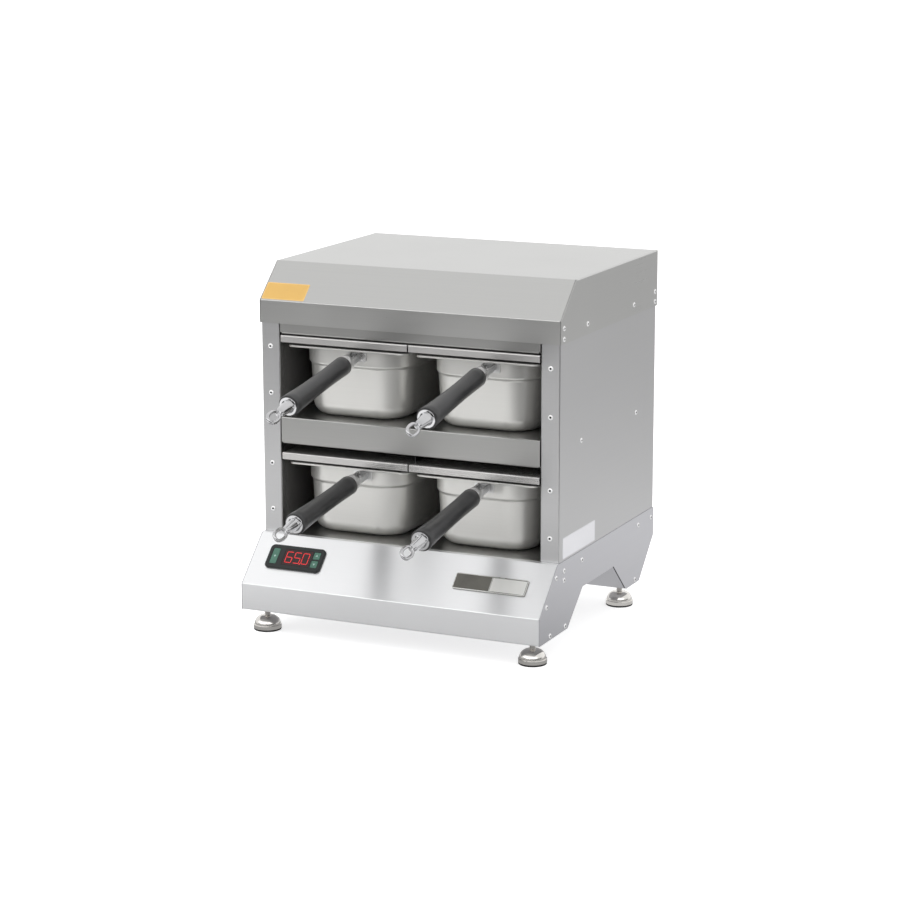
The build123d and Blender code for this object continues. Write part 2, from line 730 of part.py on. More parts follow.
def controller_key(name):
    shape = extrude(controller_pockets(0)[name], KEY_THICKNESS)
    shape = chamfer(shape.edges().group_by(Axis.Z)[-1], 0.3)
    return CONTROLLER_PLANE * Pos(0, 0, BEZEL_PROUD - KEY_THICKNESS) * shape


def controller_clips():
    # Sprung clips on the housing's ends that pull the bezel onto the panel
    inner = CONTROLLER_BODY_WIDTH / 2
    low = -SHEET - LAP_GAP - CLIP_LENGTH
    arm = [(inner, low), (inner + SHEET, low), (inner + CLIP_WIDTH, -SHEET - LAP_GAP),
           (inner + CLIP_WIDTH - SHEET, -SHEET - LAP_GAP), (inner, low + SHEET * 4)]
    profile = Plane.XZ * make_face(Polyline(*arm, close=True))
    clip = extrude(profile, amount=CLIP_WIDTH, both=True)
    clips = [CONTROLLER_PLANE * piece for piece in both_sides(clip).values()]
    return group(clips)


# Electrical parts in the base

def temperature_probe():
    # Sheathed sensor held against the lower tray by its strap
    height = LOWER_TRAY_TOP - SHEET - PROBE_RADIUS - ROD_GAP
    probe = Pos(0, 0, height) * Cylinder(PROBE_RADIUS, PROBE_LENGTH, rotation=(90, 0, 0))
    strap = block((-3 * PROBE_RADIUS, 3 * PROBE_RADIUS), (-3, 3), (height + PROBE_RADIUS - SHEET,
                                                                  height + PROBE_RADIUS))
    return probe + strap


def safety_thermostat():
    # Snap-disc limiter flat against the lower tray, with two blade terminals
    top = LOWER_TRAY_TOP - SHEET
    y = CHAMBER_REAR - LIMITER_SET
    disc = Pos(0, y, top - LIMITER_HEIGHT / 2) * Cylinder(LIMITER_RADIUS, LIMITER_HEIGHT)
    ear = block((-1.6 * LIMITER_RADIUS, 1.6 * LIMITER_RADIUS), (y - 3, y + 3), (top - SHEET, top))
    for side in (-1, 1):
        x = side * LIMITER_RADIUS / 2
        disc += block((x - SHEET / 2, x + SHEET / 2), (y - 3, y + 3),
                      (top - 2 * LIMITER_HEIGHT, top - LIMITER_HEIGHT))
    return disc + ear


def terminal_block():
    floor = FOOT_LIFT + ARCH_RISE + SHEET
    y = LIP_FRONT + FRONT_LEG + ARCH_FRONT_RAMP + ARCH_FLAT / 2
    body = block((-BLOCK_LENGTH / 2, BLOCK_LENGTH / 2), (y - BLOCK_DEPTH / 2, y + BLOCK_DEPTH / 2),
                 (floor, floor + BLOCK_HEIGHT))
    pitch = BLOCK_LENGTH / BLOCK_WAYS
    for i in range(BLOCK_WAYS):
        x = (i - (BLOCK_WAYS - 1) / 2) * pitch
        slot = block((x - pitch / 3, x + pitch / 3), (y + BLOCK_DEPTH / 4, y + BLOCK_DEPTH),
                     (floor + BLOCK_HEIGHT / 2, floor + 2 * BLOCK_HEIGHT))
        body -= slot + mirror(slot, about=Plane.XZ.offset(-y))
    return body


def cable_gland():
    # Empty gland for the supply cable, barrel through the rear wall and dome nut outside
    inner = -GLAND_BARREL_LENGTH - SHEET
    nut_end = GLAND_FLANGE_LENGTH + GLAND_NUT_LENGTH
    outline = Polyline(
        (GLAND_BORE_RADIUS, inner),
        (GLAND_BARREL_RADIUS, inner),
        (GLAND_BARREL_RADIUS, 0),
        (GLAND_NUT_RADIUS, 0),
        (GLAND_NUT_RADIUS, nut_end - 5.0),
        (GLAND_NUT_RADIUS - 3.5, nut_end),
        (GLAND_BORE_RADIUS, nut_end),
        close=True,
    )
    body = revolve(Plane.XZ * make_face(outline), axis=Axis.Z)
    bore = Cylinder(GLAND_BORE_RADIUS + 1, 4 * GLAND_FLANGE_LENGTH)
    body += extrude(RegularPolygon(GLAND_FLANGE_RADIUS, 6), GLAND_FLANGE_LENGTH) - bore
    return Pos(GLAND_X, REAR, gland_height()) * Rot(-90, 0, 0) * body


# Rivets

def rivet():
    # Blind rivet's domed head, standing on z = 0
    dome_radius = (RIVET_RADIUS ** 2 + RIVET_HEIGHT ** 2) / (2 * RIVET_HEIGHT)
    dome = RadiusArc((0, RIVET_HEIGHT), (RIVET_RADIUS, 0), dome_radius)
    base = Polyline((RIVET_RADIUS, 0), (0, 0), (0, RIVET_HEIGHT))
    return revolve(Plane.XZ * make_face([*dome.edges(), *base.edges()]), axis=Axis.Z)


def rivet_right(y, z, half):
    return Pos(half, y, z) * Rot(0, 90, 0) * rivet()


def front_rivets():
    x = BODY_WIDTH / 2 - FRONT_RIVET_INSET
    heads = []
    for top in TRAY_TOPS.values():
        for up in FRONT_RIVET_HEIGHTS:
            head = Pos(x, FRONT, top + up) * Rot(90, 0, 0) * rivet()
            heads += both_sides(head).values()
    return group(heads)


def side_rivets():
    hood_end = HOOD_DEPTH / 2 - HOOD_END_RIVET
    places = []
    for y in (-hood_end, hood_end):
        places += [(y, SKIRT_HEIGHT + up, HOOD_WIDTH / 2) for up in HOOD_END_RIVET_HEIGHTS]
    for y in (-HOOD_MIDDLE_RIVET, HOOD_MIDDLE_RIVET):
        places.append((y, SKIRT_HEIGHT + HOOD_MIDDLE_RIVET_HEIGHT, HOOD_WIDTH / 2))
    for y in (-SHELF_RIVET, SHELF_RIVET):
        places.append((y, UPPER_TRAY_TOP - SHELF_RIVET_DROP, BODY_WIDTH / 2))
    half = BASE_WIDTH / 2
    places += [(FRONT + back, BASE_TOP - BASE_TOP_RIVET_DROP, half) for back in BASE_TOP_RIVETS]
    places.append((FRONT + BASE_TOP_RIVETS[0], BASE_TOP - BASE_LOW_RIVET_DROP, half))
    angle = math.radians(SLOPE_ANGLE)
    for down in SLOPE_RIVETS:
        y = SLOPE_TOP[0] - down * math.cos(angle) + SLOPE_RIVET_INSET * math.sin(angle)
        z = SLOPE_TOP[1] - down * math.sin(angle) - SLOPE_RIVET_INSET * math.cos(angle)
        places.append((y, z, half))
    places += [(LIP_FRONT + back, FOOT_LIFT + LEG_RIVET_HEIGHT, half) for back in LEG_RIVETS]
    places.append((REAR - REAR_FOOT_SET, FOOT_LIFT + LEG_RIVET_HEIGHT, half))
    heads = []
    for y, z, side in places:
        heads += both_sides(rivet_right(y, z, side)).values()
    return group(heads)


def rear_screws():
    x = BODY_WIDTH / 2 - REAR_FLANGE / 2
    heads = []
    for z in REAR_RIVET_HEIGHTS:
        head = Pos(x, REAR, z) * Rot(-90, 0, 0) * rivet()
        heads += both_sides(head).values()
    return group(heads)


# Pans and their handles, drawn with the rim's top at z = 0 and its front edge at y = 0

def pan_form(inset, top):
    # Neck, step and tapered bowl as one solid, drawn in by an inset
    middle = Pos(0, PAN_LENGTH / 2, 0)
    trim = 2 * (RIM_OVERHANG + inset)
    width = PAN_WIDTH - trim
    length = PAN_LENGTH - trim
    corner = NECK_CORNER - inset
    neck = Pos(0, 0, -NECK_DEPTH) * extrude(RectangleRounded(width, length, corner), NECK_DEPTH + top)
    step = Pos(0, 0, -NECK_DEPTH) * extrude(
        RectangleRounded(width, length, corner), NECK_STEP, dir=(0, 0, -1), taper=45)
    bowl_top = -NECK_DEPTH - NECK_STEP
    bowl_height = PAN_HEIGHT - NECK_DEPTH - NECK_STEP - inset
    bowl = Pos(0, 0, bowl_top) * extrude(
        RectangleRounded(width - 2 * NECK_STEP, length - 2 * NECK_STEP, corner - NECK_STEP),
        bowl_height, dir=(0, 0, -1), taper=BOWL_TAPER)
    floor = bowl.faces().sort_by(Axis.Z)[0]
    bowl = fillet(floor.edges(), BOWL_ROUND - inset)
    form = neck + step + bowl
    level = form.edges().filter_by(lambda edge: edge.bounding_box().size.Z < LAP_GAP)
    folds = level.filter_by_position(Axis.Z, -NECK_DEPTH - 2 * NECK_STEP, -NECK_DEPTH + NECK_STEP)
    return middle * fillet(folds, STEP_ROUND)


def pan():
    middle = Pos(0, PAN_LENGTH / 2, 0)
    rim = extrude(RectangleRounded(PAN_WIDTH, PAN_LENGTH, RIM_CORNER), -RIM_EDGE)
    rim = fillet(rim.faces().sort_by(Axis.Z)[-1].edges(), RIM_EDGE_ROUND)
    under = RectangleRounded(PAN_WIDTH - 2 * PAN_WALL, PAN_LENGTH - 2 * PAN_WALL, RIM_CORNER - PAN_WALL)
    rim -= Pos(0, 0, -PAN_WALL) * extrude(under, -RIM_EDGE)
    return middle * rim + pan_form(0, -PAN_WALL / 2) - pan_form(PAN_WALL, PAN_WALL)


def along_handle(offset, droop, piece):
    # Places a piece drawn along -Y from the grip's near end
    near = Pos(offset, -PAN_SETBACK - GRIP_START, -GRIP_DROP)
    return near * Rot(droop, 0, 0) * piece


def handle_core(offset, droop, dish):
    # Welded arm, socket, tang through the grip, end cap and hanging eye, as one steel piece
    wall = PAN_SETBACK + GRIP_START + RIM_OVERHANG
    socket = Pos(0, SOCKET_LENGTH / 2, 0) * Cylinder(SOCKET_RADIUS, SOCKET_LENGTH, rotation=(90, 0, 0))
    socket = chamfer(socket.edges().sort_by(Axis.Y)[-1], SOCKET_CHAMFER)
    arm_end = wall + WELD_OVERLAP
    arm = block((-ARM_WIDTH / 2, ARM_WIDTH / 2), (SOCKET_LENGTH - ARM_OVERLAP, arm_end),
                (-ARM_HEIGHT / 2, ARM_HEIGHT / 2))
    arm -= block((-ARM_WIDTH / 2 + ARM_THICKNESS, ARM_WIDTH / 2 - ARM_THICKNESS),
                 (SOCKET_LENGTH, arm_end + SHEET), (-ARM_HEIGHT / 2 + ARM_THICKNESS, ARM_HEIGHT))
    tang_length = GRIP_LENGTH + ARM_OVERLAP
    tang = Pos(0, -GRIP_LENGTH / 2, 0) * Cylinder(TANG_RADIUS, tang_length, rotation=(90, 0, 0))
    flange = extrude(Circle(CAP_FLANGE_RADIUS), CAP_FLANGE_LENGTH)
    cone_taper = math.degrees(math.atan((CAP_NEAR_RADIUS - CAP_FAR_RADIUS) / CAP_LENGTH))
    cone = Pos(0, 0, CAP_FLANGE_LENGTH) * extrude(Circle(CAP_NEAR_RADIUS), CAP_LENGTH, taper=cone_taper)
    cap = Rot(90, 0, 0) * (flange + cone)
    loop = Pos(0, -EYE_REACH, 0) * Rot(0, 0, 90) * SlotOverall(EYE_LENGTH, EYE_WIDTH).wire()
    start = Plane(origin=loop @ 0, z_dir=loop % 0)
    eye = sweep(start * Circle(EYE_WIRE_RADIUS), path=loop)
    hanger = Pos(0, -GRIP_LENGTH, 0) * Rot(0, EYE_ROLL, 0) * (cap + eye)
    core = along_handle(offset, droop, socket + arm + tang + hanger)
    weld = block((offset - WELD_WIDTH / 2, offset + WELD_WIDTH / 2),
                 (RIM_OVERHANG - WELD_THICKNESS, RIM_OVERHANG + WELD_OVERLAP),
                 (-WELD_DROP - WELD_HEIGHT, -WELD_DROP))
    return core + weld - dish


def grip(offset, droop):
    bore = TANG_RADIUS + TANG_GAP
    near = (GRIP_NEAR_RADIUS, 0)
    far = (GRIP_FAR_RADIUS, GRIP_LENGTH)
    waist = ThreePointArc(near, (GRIP_WAIST_RADIUS, GRIP_LENGTH / 2), far)
    ends = Polyline(far, (bore, GRIP_LENGTH), (bore, 0), near)
    outline = make_face([*waist.edges(), *ends.edges()])
    corners = outline.vertices().sort_by(Axis.X)[-2:]
    outline = fillet(corners, GRIP_ROUND)
    body = Rot(90, 0, 0) * revolve(Plane.XZ * outline, axis=Axis.Z)
    return along_handle(offset, droop, body)


def pan_place(side, tier):
    rim = TRAY_TOPS[tier] + SLIDE_GAP + PAN_HEIGHT
    across = PAN_SPACING / 2 if side == "right" else -PAN_SPACING / 2
    return Pos(across, PAN_FRONT, rim)


# Whole cabinet

def build():
    nodes = {"hood_shell": hood_shell()}
    for side, piece in both_sides(body_side()).items():
        nodes[f"body_side_{side}"] = piece
    for piece in (rear_panel, ceiling_panel, chamber_liner, upper_tray, upper_tray_underside, lower_tray,
                  insulation_sides, insulation_rear, insulation_top, cover_ledges, cover_centre_rails,
                  base_front_panel, base_bottom, foot_nuts, controller_housing, controller_window,
                  controller_clips, temperature_probe, safety_thermostat, terminal_block, cable_gland,
                  front_rivets, side_rivets, rear_screws):
        nodes[piece.__name__] = piece()
    for side, piece in both_sides(base_side()).items():
        nodes[f"base_side_{side}"] = piece
    for name, height in element_heights().items():
        nodes[name] = heating_element(height)
    for name in KEYS:
        nodes[f"controller_{name}"] = controller_key(name)
    dish = pan()
    dish_form = pan_form(0, 0)
    for name, (side, tier, offset, droop) in PANS.items():
        place = pan_place(side, tier)
        nodes[f"cover_{name}"] = cover(side, tier)
        nodes[f"pan_{name}"] = place * dish
        nodes[f"handle_{name}"] = place * handle_core(offset, droop, dish_form)
        nodes[f"grip_{name}"] = place * grip(offset, droop)
    for name, (x, y) in FEET.items():
        nodes[f"foot_{name}"] = Pos(x, y, 0) * foot()
        nodes[f"foot_pad_{name}"] = Pos(x, y, 0) * foot_pad()
    return nodes


def middle_of(nodes):
    # Y of the middle of the whole cabinet's box
    boxes = [piece.bounding_box() for piece in nodes.values()]
    return (min(box.min.Y for box in boxes) + max(box.max.Y for box in boxes)) / 2


PIECES = build()
MIDDLE_Y = middle_of(PIECES)
os.makedirs("parts", exist_ok=True)
for node, piece in PIECES.items():
    export_step(Pos(0, -MIDDLE_Y, 0) * piece, f"parts/{node}.step")
print(len(PIECES), "nodes, middle at", round(MIDDLE_Y, 3))
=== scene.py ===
import math
import bpy
import bmesh
from mathutils import Matrix, Vector


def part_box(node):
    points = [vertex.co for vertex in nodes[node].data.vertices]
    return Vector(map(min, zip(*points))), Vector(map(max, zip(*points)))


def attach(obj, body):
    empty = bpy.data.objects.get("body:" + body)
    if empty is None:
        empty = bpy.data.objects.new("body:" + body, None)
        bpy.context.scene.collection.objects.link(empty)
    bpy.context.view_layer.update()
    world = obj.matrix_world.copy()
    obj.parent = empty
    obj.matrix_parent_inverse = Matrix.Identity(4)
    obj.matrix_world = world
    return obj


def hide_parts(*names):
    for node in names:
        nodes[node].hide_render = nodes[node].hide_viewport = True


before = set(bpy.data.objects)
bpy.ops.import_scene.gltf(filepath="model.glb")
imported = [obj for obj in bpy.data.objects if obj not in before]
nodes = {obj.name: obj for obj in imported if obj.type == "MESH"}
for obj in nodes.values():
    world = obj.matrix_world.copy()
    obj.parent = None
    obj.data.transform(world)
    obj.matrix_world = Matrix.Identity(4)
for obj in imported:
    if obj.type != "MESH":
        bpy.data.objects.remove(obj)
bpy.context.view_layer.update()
hoodLow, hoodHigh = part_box("hood_shell")
middleY = (hoodLow.y + hoodHigh.y) / 2      # middle of the hood, front to rear
print("frame loaded:", len(nodes), "nodes")


# camera at the photograph's place, measured from the hood's middle

cameraView = {
    "place": (1.3606, -2.9771, 0.9259),
    "azimuth": 24.835,
    "elevation": 12.418,
    "roll": -0.135,
    "lens": 106.0,
}


def makeCamera(view):
    camData = bpy.data.cameras.new("camera")
    camData.lens = view["lens"]
    camData.sensor_width = 36
    camData.clip_start = 0.05
    camData.clip_end = 60
    cam = bpy.data.objects.new("camera", camData)
    bpy.context.scene.collection.objects.link(cam)
    x, y, z = view["place"]
    turn = Matrix.Rotation(math.radians(view["azimuth"]), 4, "Z")
    tilt = Matrix.Rotation(math.radians(90 - view["elevation"]), 4, "X")
    roll = Matrix.Rotation(math.radians(view["roll"]), 4, "Z")
    cam.matrix_world = Matrix.Translation((x, y + middleY, z)) @ turn @ tilt @ roll
    bpy.context.scene.camera = cam


makeCamera(cameraView)
print("camera set")


# small helpers for node trees and for modelling

def newMaterial(name):
    mat = bpy.data.materials.new(name)
    mat.use_nodes = True
    tree = mat.node_tree
    tree.nodes.clear()
    out = tree.nodes.new("ShaderNodeOutputMaterial")
    shader = tree.nodes.new("ShaderNodeBsdfPrincipled")
    tree.links.new(shader.outputs["BSDF"], out.inputs["Surface"])
    return mat, tree, shader


def newGroup(name, inputs, outputs):
    tree = bpy.data.node_groups.new(name, "ShaderNodeTree")
    for label, kind, value in inputs:
        socket = tree.interface.new_socket(name=label, in_out="INPUT", socket_type=kind)
        if value is not None:
            socket.default_value = value
    for label, kind in outputs:
        tree.interface.new_socket(name=label, in_out="OUTPUT", socket_type=kind)
    return tree, tree.nodes.new("NodeGroupInput"), tree.nodes.new("NodeGroupOutput")


def addNode(tree, kind, **settings):
    node = tree.nodes.new(kind)
    for key, value in settings.items():
        setattr(node, key, value)
    return node


def feed(tree, source, target):
    tree.links.new(source, target)


def mathNode(tree, operation, first, second=None):
    node = addNode(tree, "ShaderNodeMath", operation=operation)
    for i, value in enumerate((first, second)):
        if value is None:
            continue
        if isinstance(value, (int, float)):
            node.inputs[i].default_value = value
        else:
            feed(tree, value, node.inputs[i])
    return node.outputs[0]


def ramp(tree, source, low, high, lowOut, highOut):
    node = addNode(tree, "ShaderNodeMapRange")
    node.inputs["From Min"].default_value = low
    node.inputs["From Max"].default_value = high
    node.inputs["To Min"].default_value = lowOut
    node.inputs["To Max"].default_value = highOut
    feed(tree, source, node.inputs["Value"])
    return node.outputs["Result"]


# shared finishes: brushed grain and soft smudges

def makeGrainGroup():
    tree, start, end = newGroup(
        "brushedGrain",
        [("Vector", "NodeSocketVector", None), ("Fine", "NodeSocketVector", (40.0, 2600.0, 2600.0)),
         ("Coarse", "NodeSocketVector", (6.0, 420.0, 420.0))],
        [("Grain", "NodeSocketFloat"), ("Streak", "NodeSocketFloat")],
    )
    results = []
    for label, detail in (("Fine", 3.0), ("Coarse", 2.0)):
        stretch = addNode(tree, "ShaderNodeVectorMath", operation="MULTIPLY")
        feed(tree, start.outputs["Vector"], stretch.inputs[0])
        feed(tree, start.outputs[label], stretch.inputs[1])
        noise = addNode(tree, "ShaderNodeTexNoise")
        noise.inputs["Scale"].default_value = 1.0
        noise.inputs["Detail"].default_value = detail
        noise.inputs["Roughness"].default_value = 0.6
        feed(tree, stretch.outputs[0], noise.inputs["Vector"])
        results.append(noise.outputs["Fac"])
    feed(tree, results[0], end.inputs["Grain"])
    feed(tree, results[1], end.inputs["Streak"])
    return tree


def makeSmudgeGroup():
    tree, start, end = newGroup(
        "softSmudge",
        [("Vector", "NodeSocketVector", None), ("Size", "NodeSocketFloat", 9.0),
         ("Amount", "NodeSocketFloat", 0.1)],
        [("Mask", "NodeSocketFloat")],
    )
    noise = addNode(tree, "ShaderNodeTexNoise")
    noise.inputs["Detail"].default_value = 5.0
    noise.inputs["Roughness"].default_value = 0.55
    feed(tree, start.outputs["Vector"], noise.inputs["Vector"])
    feed(tree, start.outputs["Size"], noise.inputs["Scale"])
    spread = ramp(tree, noise.outputs["Fac"], 0.35, 0.7, 0.0, 1.0)
    feed(tree, mathNode(tree, "MULTIPLY", spread, start.outputs["Amount"]), end.inputs["Mask"])
    return tree


grainGroup = makeGrainGroup()
smudgeGroup = makeSmudgeGroup()


def useGroup(tree, group, vector, **values):
    node = addNode(tree, "ShaderNodeGroup", node_tree=group)
    feed(tree, vector, node.inputs["Vector"])
    for label, value in values.items():
        node.inputs[label].default_value = value
    return node


grainWay = {"X": (1, 0.02, 0.01), "Y": (0.01, 1, 0.02), "Z": (0.02, 0.01, 1)}
grainScale = {"X": (1, 500, 500), "Y": (500, 1, 500), "Z": (500, 500, 1)}
grainTurns = {"X": "XY", "Y": "YX", "Z": "ZX"}      # grain's axis, then its axis on end faces
grainSize = {"Fine": 9.0, "Coarse": 1.6}
grainShare = {"Grain": 0.55, "Streak": 0.45}
streakGloss = 0.012                                 # how far a streak moves the roughness
smudgeGloss = 0.03


def crossGrain(tree, normal, axis):
    # 1 on faces that look along the grain's axis
    parts = addNode(tree, "ShaderNodeSeparateXYZ")
    feed(tree, normal, parts.inputs[0])
    return ramp(tree, mathNode(tree, "ABSOLUTE", parts.outputs[axis]), 0.7, 0.75, 0.0, 1.0)


def mixVectors(tree, factor, first, second):
    mix = addNode(tree, "ShaderNodeMix", data_type="VECTOR")
    feed(tree, factor, mix.inputs["Factor"])
    sockets = [socket for socket in mix.inputs if socket.type == "VECTOR"]
    values = [socket for socket in sockets if socket.name in ("A", "B")]
    values[0].default_value = first
    values[1].default_value = second
    return [socket for socket in mix.outputs if socket.type == "VECTOR"][0]


def steelMaterial(name, look):
    # brushed stainless sheet: grain runs along one axis and the gloss spreads across it
    mat, tree, shader = newMaterial(name)
    place = addNode(tree, "ShaderNodeTexCoord").outputs["Object"]
    normal = addNode(tree, "ShaderNodeNewGeometry").outputs["Normal"]
    axes = grainTurns[look["grain"]]
    turned = crossGrain(tree, normal, look["grain"])
    grain = useGroup(tree, grainGroup, place)
    for label, size in grainSize.items():
        ways = [[size * a for a in grainScale[axis]] for axis in axes]
        feed(tree, mixVectors(tree, turned, *ways), grain.inputs[label])
    smudge = useGroup(tree, smudgeGroup, place, Size=look.get("smudgeSize", 7.0), Amount=1.0)

    # colour: a little darker and lighter along the grain
    mix = addNode(tree, "ShaderNodeMix", data_type="RGBA")
    dark = [c * (1 - look["contrast"]) for c in look["color"]]
    light = [min(1, c * (1 + look["contrast"])) for c in look["color"]]
    mix.inputs["A"].default_value = dark + [1]
    mix.inputs["B"].default_value = light + [1]
    shares = [mathNode(tree, "MULTIPLY", grain.outputs[label], share)
              for label, share in grainShare.items()]
    blend = mathNode(tree, "ADD", *shares)
    feed(tree, ramp(tree, blend, 0.32, 0.68, 0.0, 1.0), mix.inputs["Factor"])
    feed(tree, mix.outputs["Result"], shader.inputs["Base Color"])

    # gloss: streaks and smudges round the look's own roughness, drawn out across the grain
    streaks = ramp(tree, grain.outputs["Streak"], 0.3, 0.7, -streakGloss, streakGloss)
    smudges = ramp(tree, smudge.outputs["Mask"], 0.0, 1.0, look["rough"],
                   look["rough"] + smudgeGloss)
    feed(tree, mathNode(tree, "ADD", streaks, smudges), shader.inputs["Roughness"])
    shader.inputs["Metallic"].default_value = look.get("metal", 1.0)
    shader.inputs["Anisotropic"].default_value = look.get("anisotropic", 0.6)
    cross = addNode(tree, "ShaderNodeVectorMath", operation="CROSS_PRODUCT")
    feed(tree, normal, cross.inputs[0])
    feed(tree, mixVectors(tree, turned, *[grainWay[axis] for axis in axes]), cross.inputs[1])
    feed(tree, cross.outputs[0], shader.inputs["Tangent"])

    bump = addNode(tree, "ShaderNodeBump")
    bump.inputs["Strength"].default_value = look.get("bump", 0.06)
    bump.inputs["Distance"].default_value = 0.0001
    feed(tree, grain.outputs["Grain"], bump.inputs["Height"])
    feed(tree, bump.outputs["Normal"], shader.inputs["Normal"])
    return mat


def plainMaterial(name, look):
    # moulded or cast finish: a little mottling in colour, gloss and surface
    mat, tree, shader = newMaterial(name)
    place = addNode(tree, "ShaderNodeTexCoord").outputs["Object"]
    smudge = useGroup(tree, smudgeGroup, place, Size=look.get("smudgeSize", 30.0), Amount=1.0)
    mask = smudge.outputs["Mask"]
    mix = addNode(tree, "ShaderNodeMix", data_type="RGBA")
    light = [min(1, c * (1 + look.get("contrast", 0.15))) for c in look["color"]]
    mix.inputs["A"].default_value = [*look["color"], 1]
    mix.inputs["B"].default_value = light + [1]
    feed(tree, mask, mix.inputs["Factor"])
    feed(tree, mix.outputs["Result"], shader.inputs["Base Color"])
    rougher = look["rough"] + look.get("roughSpread", 0.08)
    feed(tree, ramp(tree, mask, 0.0, 1.0, look["rough"], rougher), shader.inputs["Roughness"])
    shader.inputs["Metallic"].default_value = look.get("metal", 0.0)
    if "glow" in look:
        shader.inputs["Emission Color"].default_value = (*look["glow"], 1)
        shader.inputs["Emission Strength"].default_value = look["glowStrength"]
    speck = addNode(tree, "ShaderNodeTexNoise")
    speck.inputs["Scale"].default_value = look.get("speckSize", 900.0)
    speck.inputs["Detail"].default_value = 2.0
    feed(tree, place, speck.inputs["Vector"])
    bump = addNode(tree, "ShaderNodeBump")
    bump.inputs["Strength"].default_value = look.get("bump", 0.05)
    bump.inputs["Distance"].default_value = 0.0003
    feed(tree, speck.outputs["Fac"], bump.inputs["Height"])
    feed(tree, bump.outputs["Normal"], shader.inputs["Normal"])
    return mat


steelLooks = {
    "hoodSteel": {"color": (0.58, 0.58, 0.57), "rough": 0.28, "contrast": 0.02,
                  "grain": "X", "bump": 0.012},
    "bodySteel": {"color": (0.60, 0.60, 0.605), "rough": 0.30, "contrast": 0.02,
                  "grain": "Y", "bump": 0.012},
    # sloped front panel: a near-white copy of the sheet steel, painted highlight standing in for
    # the bright light on the slope
    "baseSteelPaintedBright": {"color": (0.91, 0.915, 0.925), "rough": 0.33, "contrast": 0.012,
                  "grain": "X", "bump": 0.001, "metal": 0.85},
    "baseSideSteel": {"color": (0.63, 0.63, 0.66), "rough": 0.30, "contrast": 0.02,
                      "grain": "Y", "bump": 0.012},
    # trays and ceiling panel: a darker copy of the sheet steel, painted shade inside the chamber
    "shelfSteelPaintedShade": {"color": (0.46, 0.46, 0.45), "rough": 0.28, "contrast": 0.03,
                   "grain": "X", "bump": 0.012},
    "coverSteel": {"color": (0.62, 0.61, 0.60), "rough": 0.27, "contrast": 0.008,
                   "grain": "X", "bump": 0.006, "metal": 0.85},
    # inside of the chamber: a dark copy of the sheet steel, painted shade
    "chamberSteelPaintedShade": {"color": (0.30, 0.295, 0.29), "rough": 0.42, "contrast": 0.06,
                     "grain": "Y", "bump": 0.01, "metal": 0.8},
    # rails between the covers: near-black steel, painted shade in the gap around them
    "railSteelPaintedShade": {"color": (0.10, 0.10, 0.10), "rough": 0.5, "contrast": 0.06,
                  "grain": "Y", "bump": 0.01},
    "panSteel": {"color": (0.74, 0.735, 0.71), "rough": 0.30, "contrast": 0.02,
                 "grain": "X", "anisotropic": 0.0, "bump": 0.004, "metal": 0.72},
    "zincSteel": {"color": (0.58, 0.59, 0.60), "rough": 0.30, "contrast": 0.12,
                  "grain": "Z", "anisotropic": 0.0},
    "elementSteel": {"color": (0.22, 0.20, 0.18), "rough": 0.42, "contrast": 0.2,
                     "grain": "Y", "anisotropic": 0.0},
}
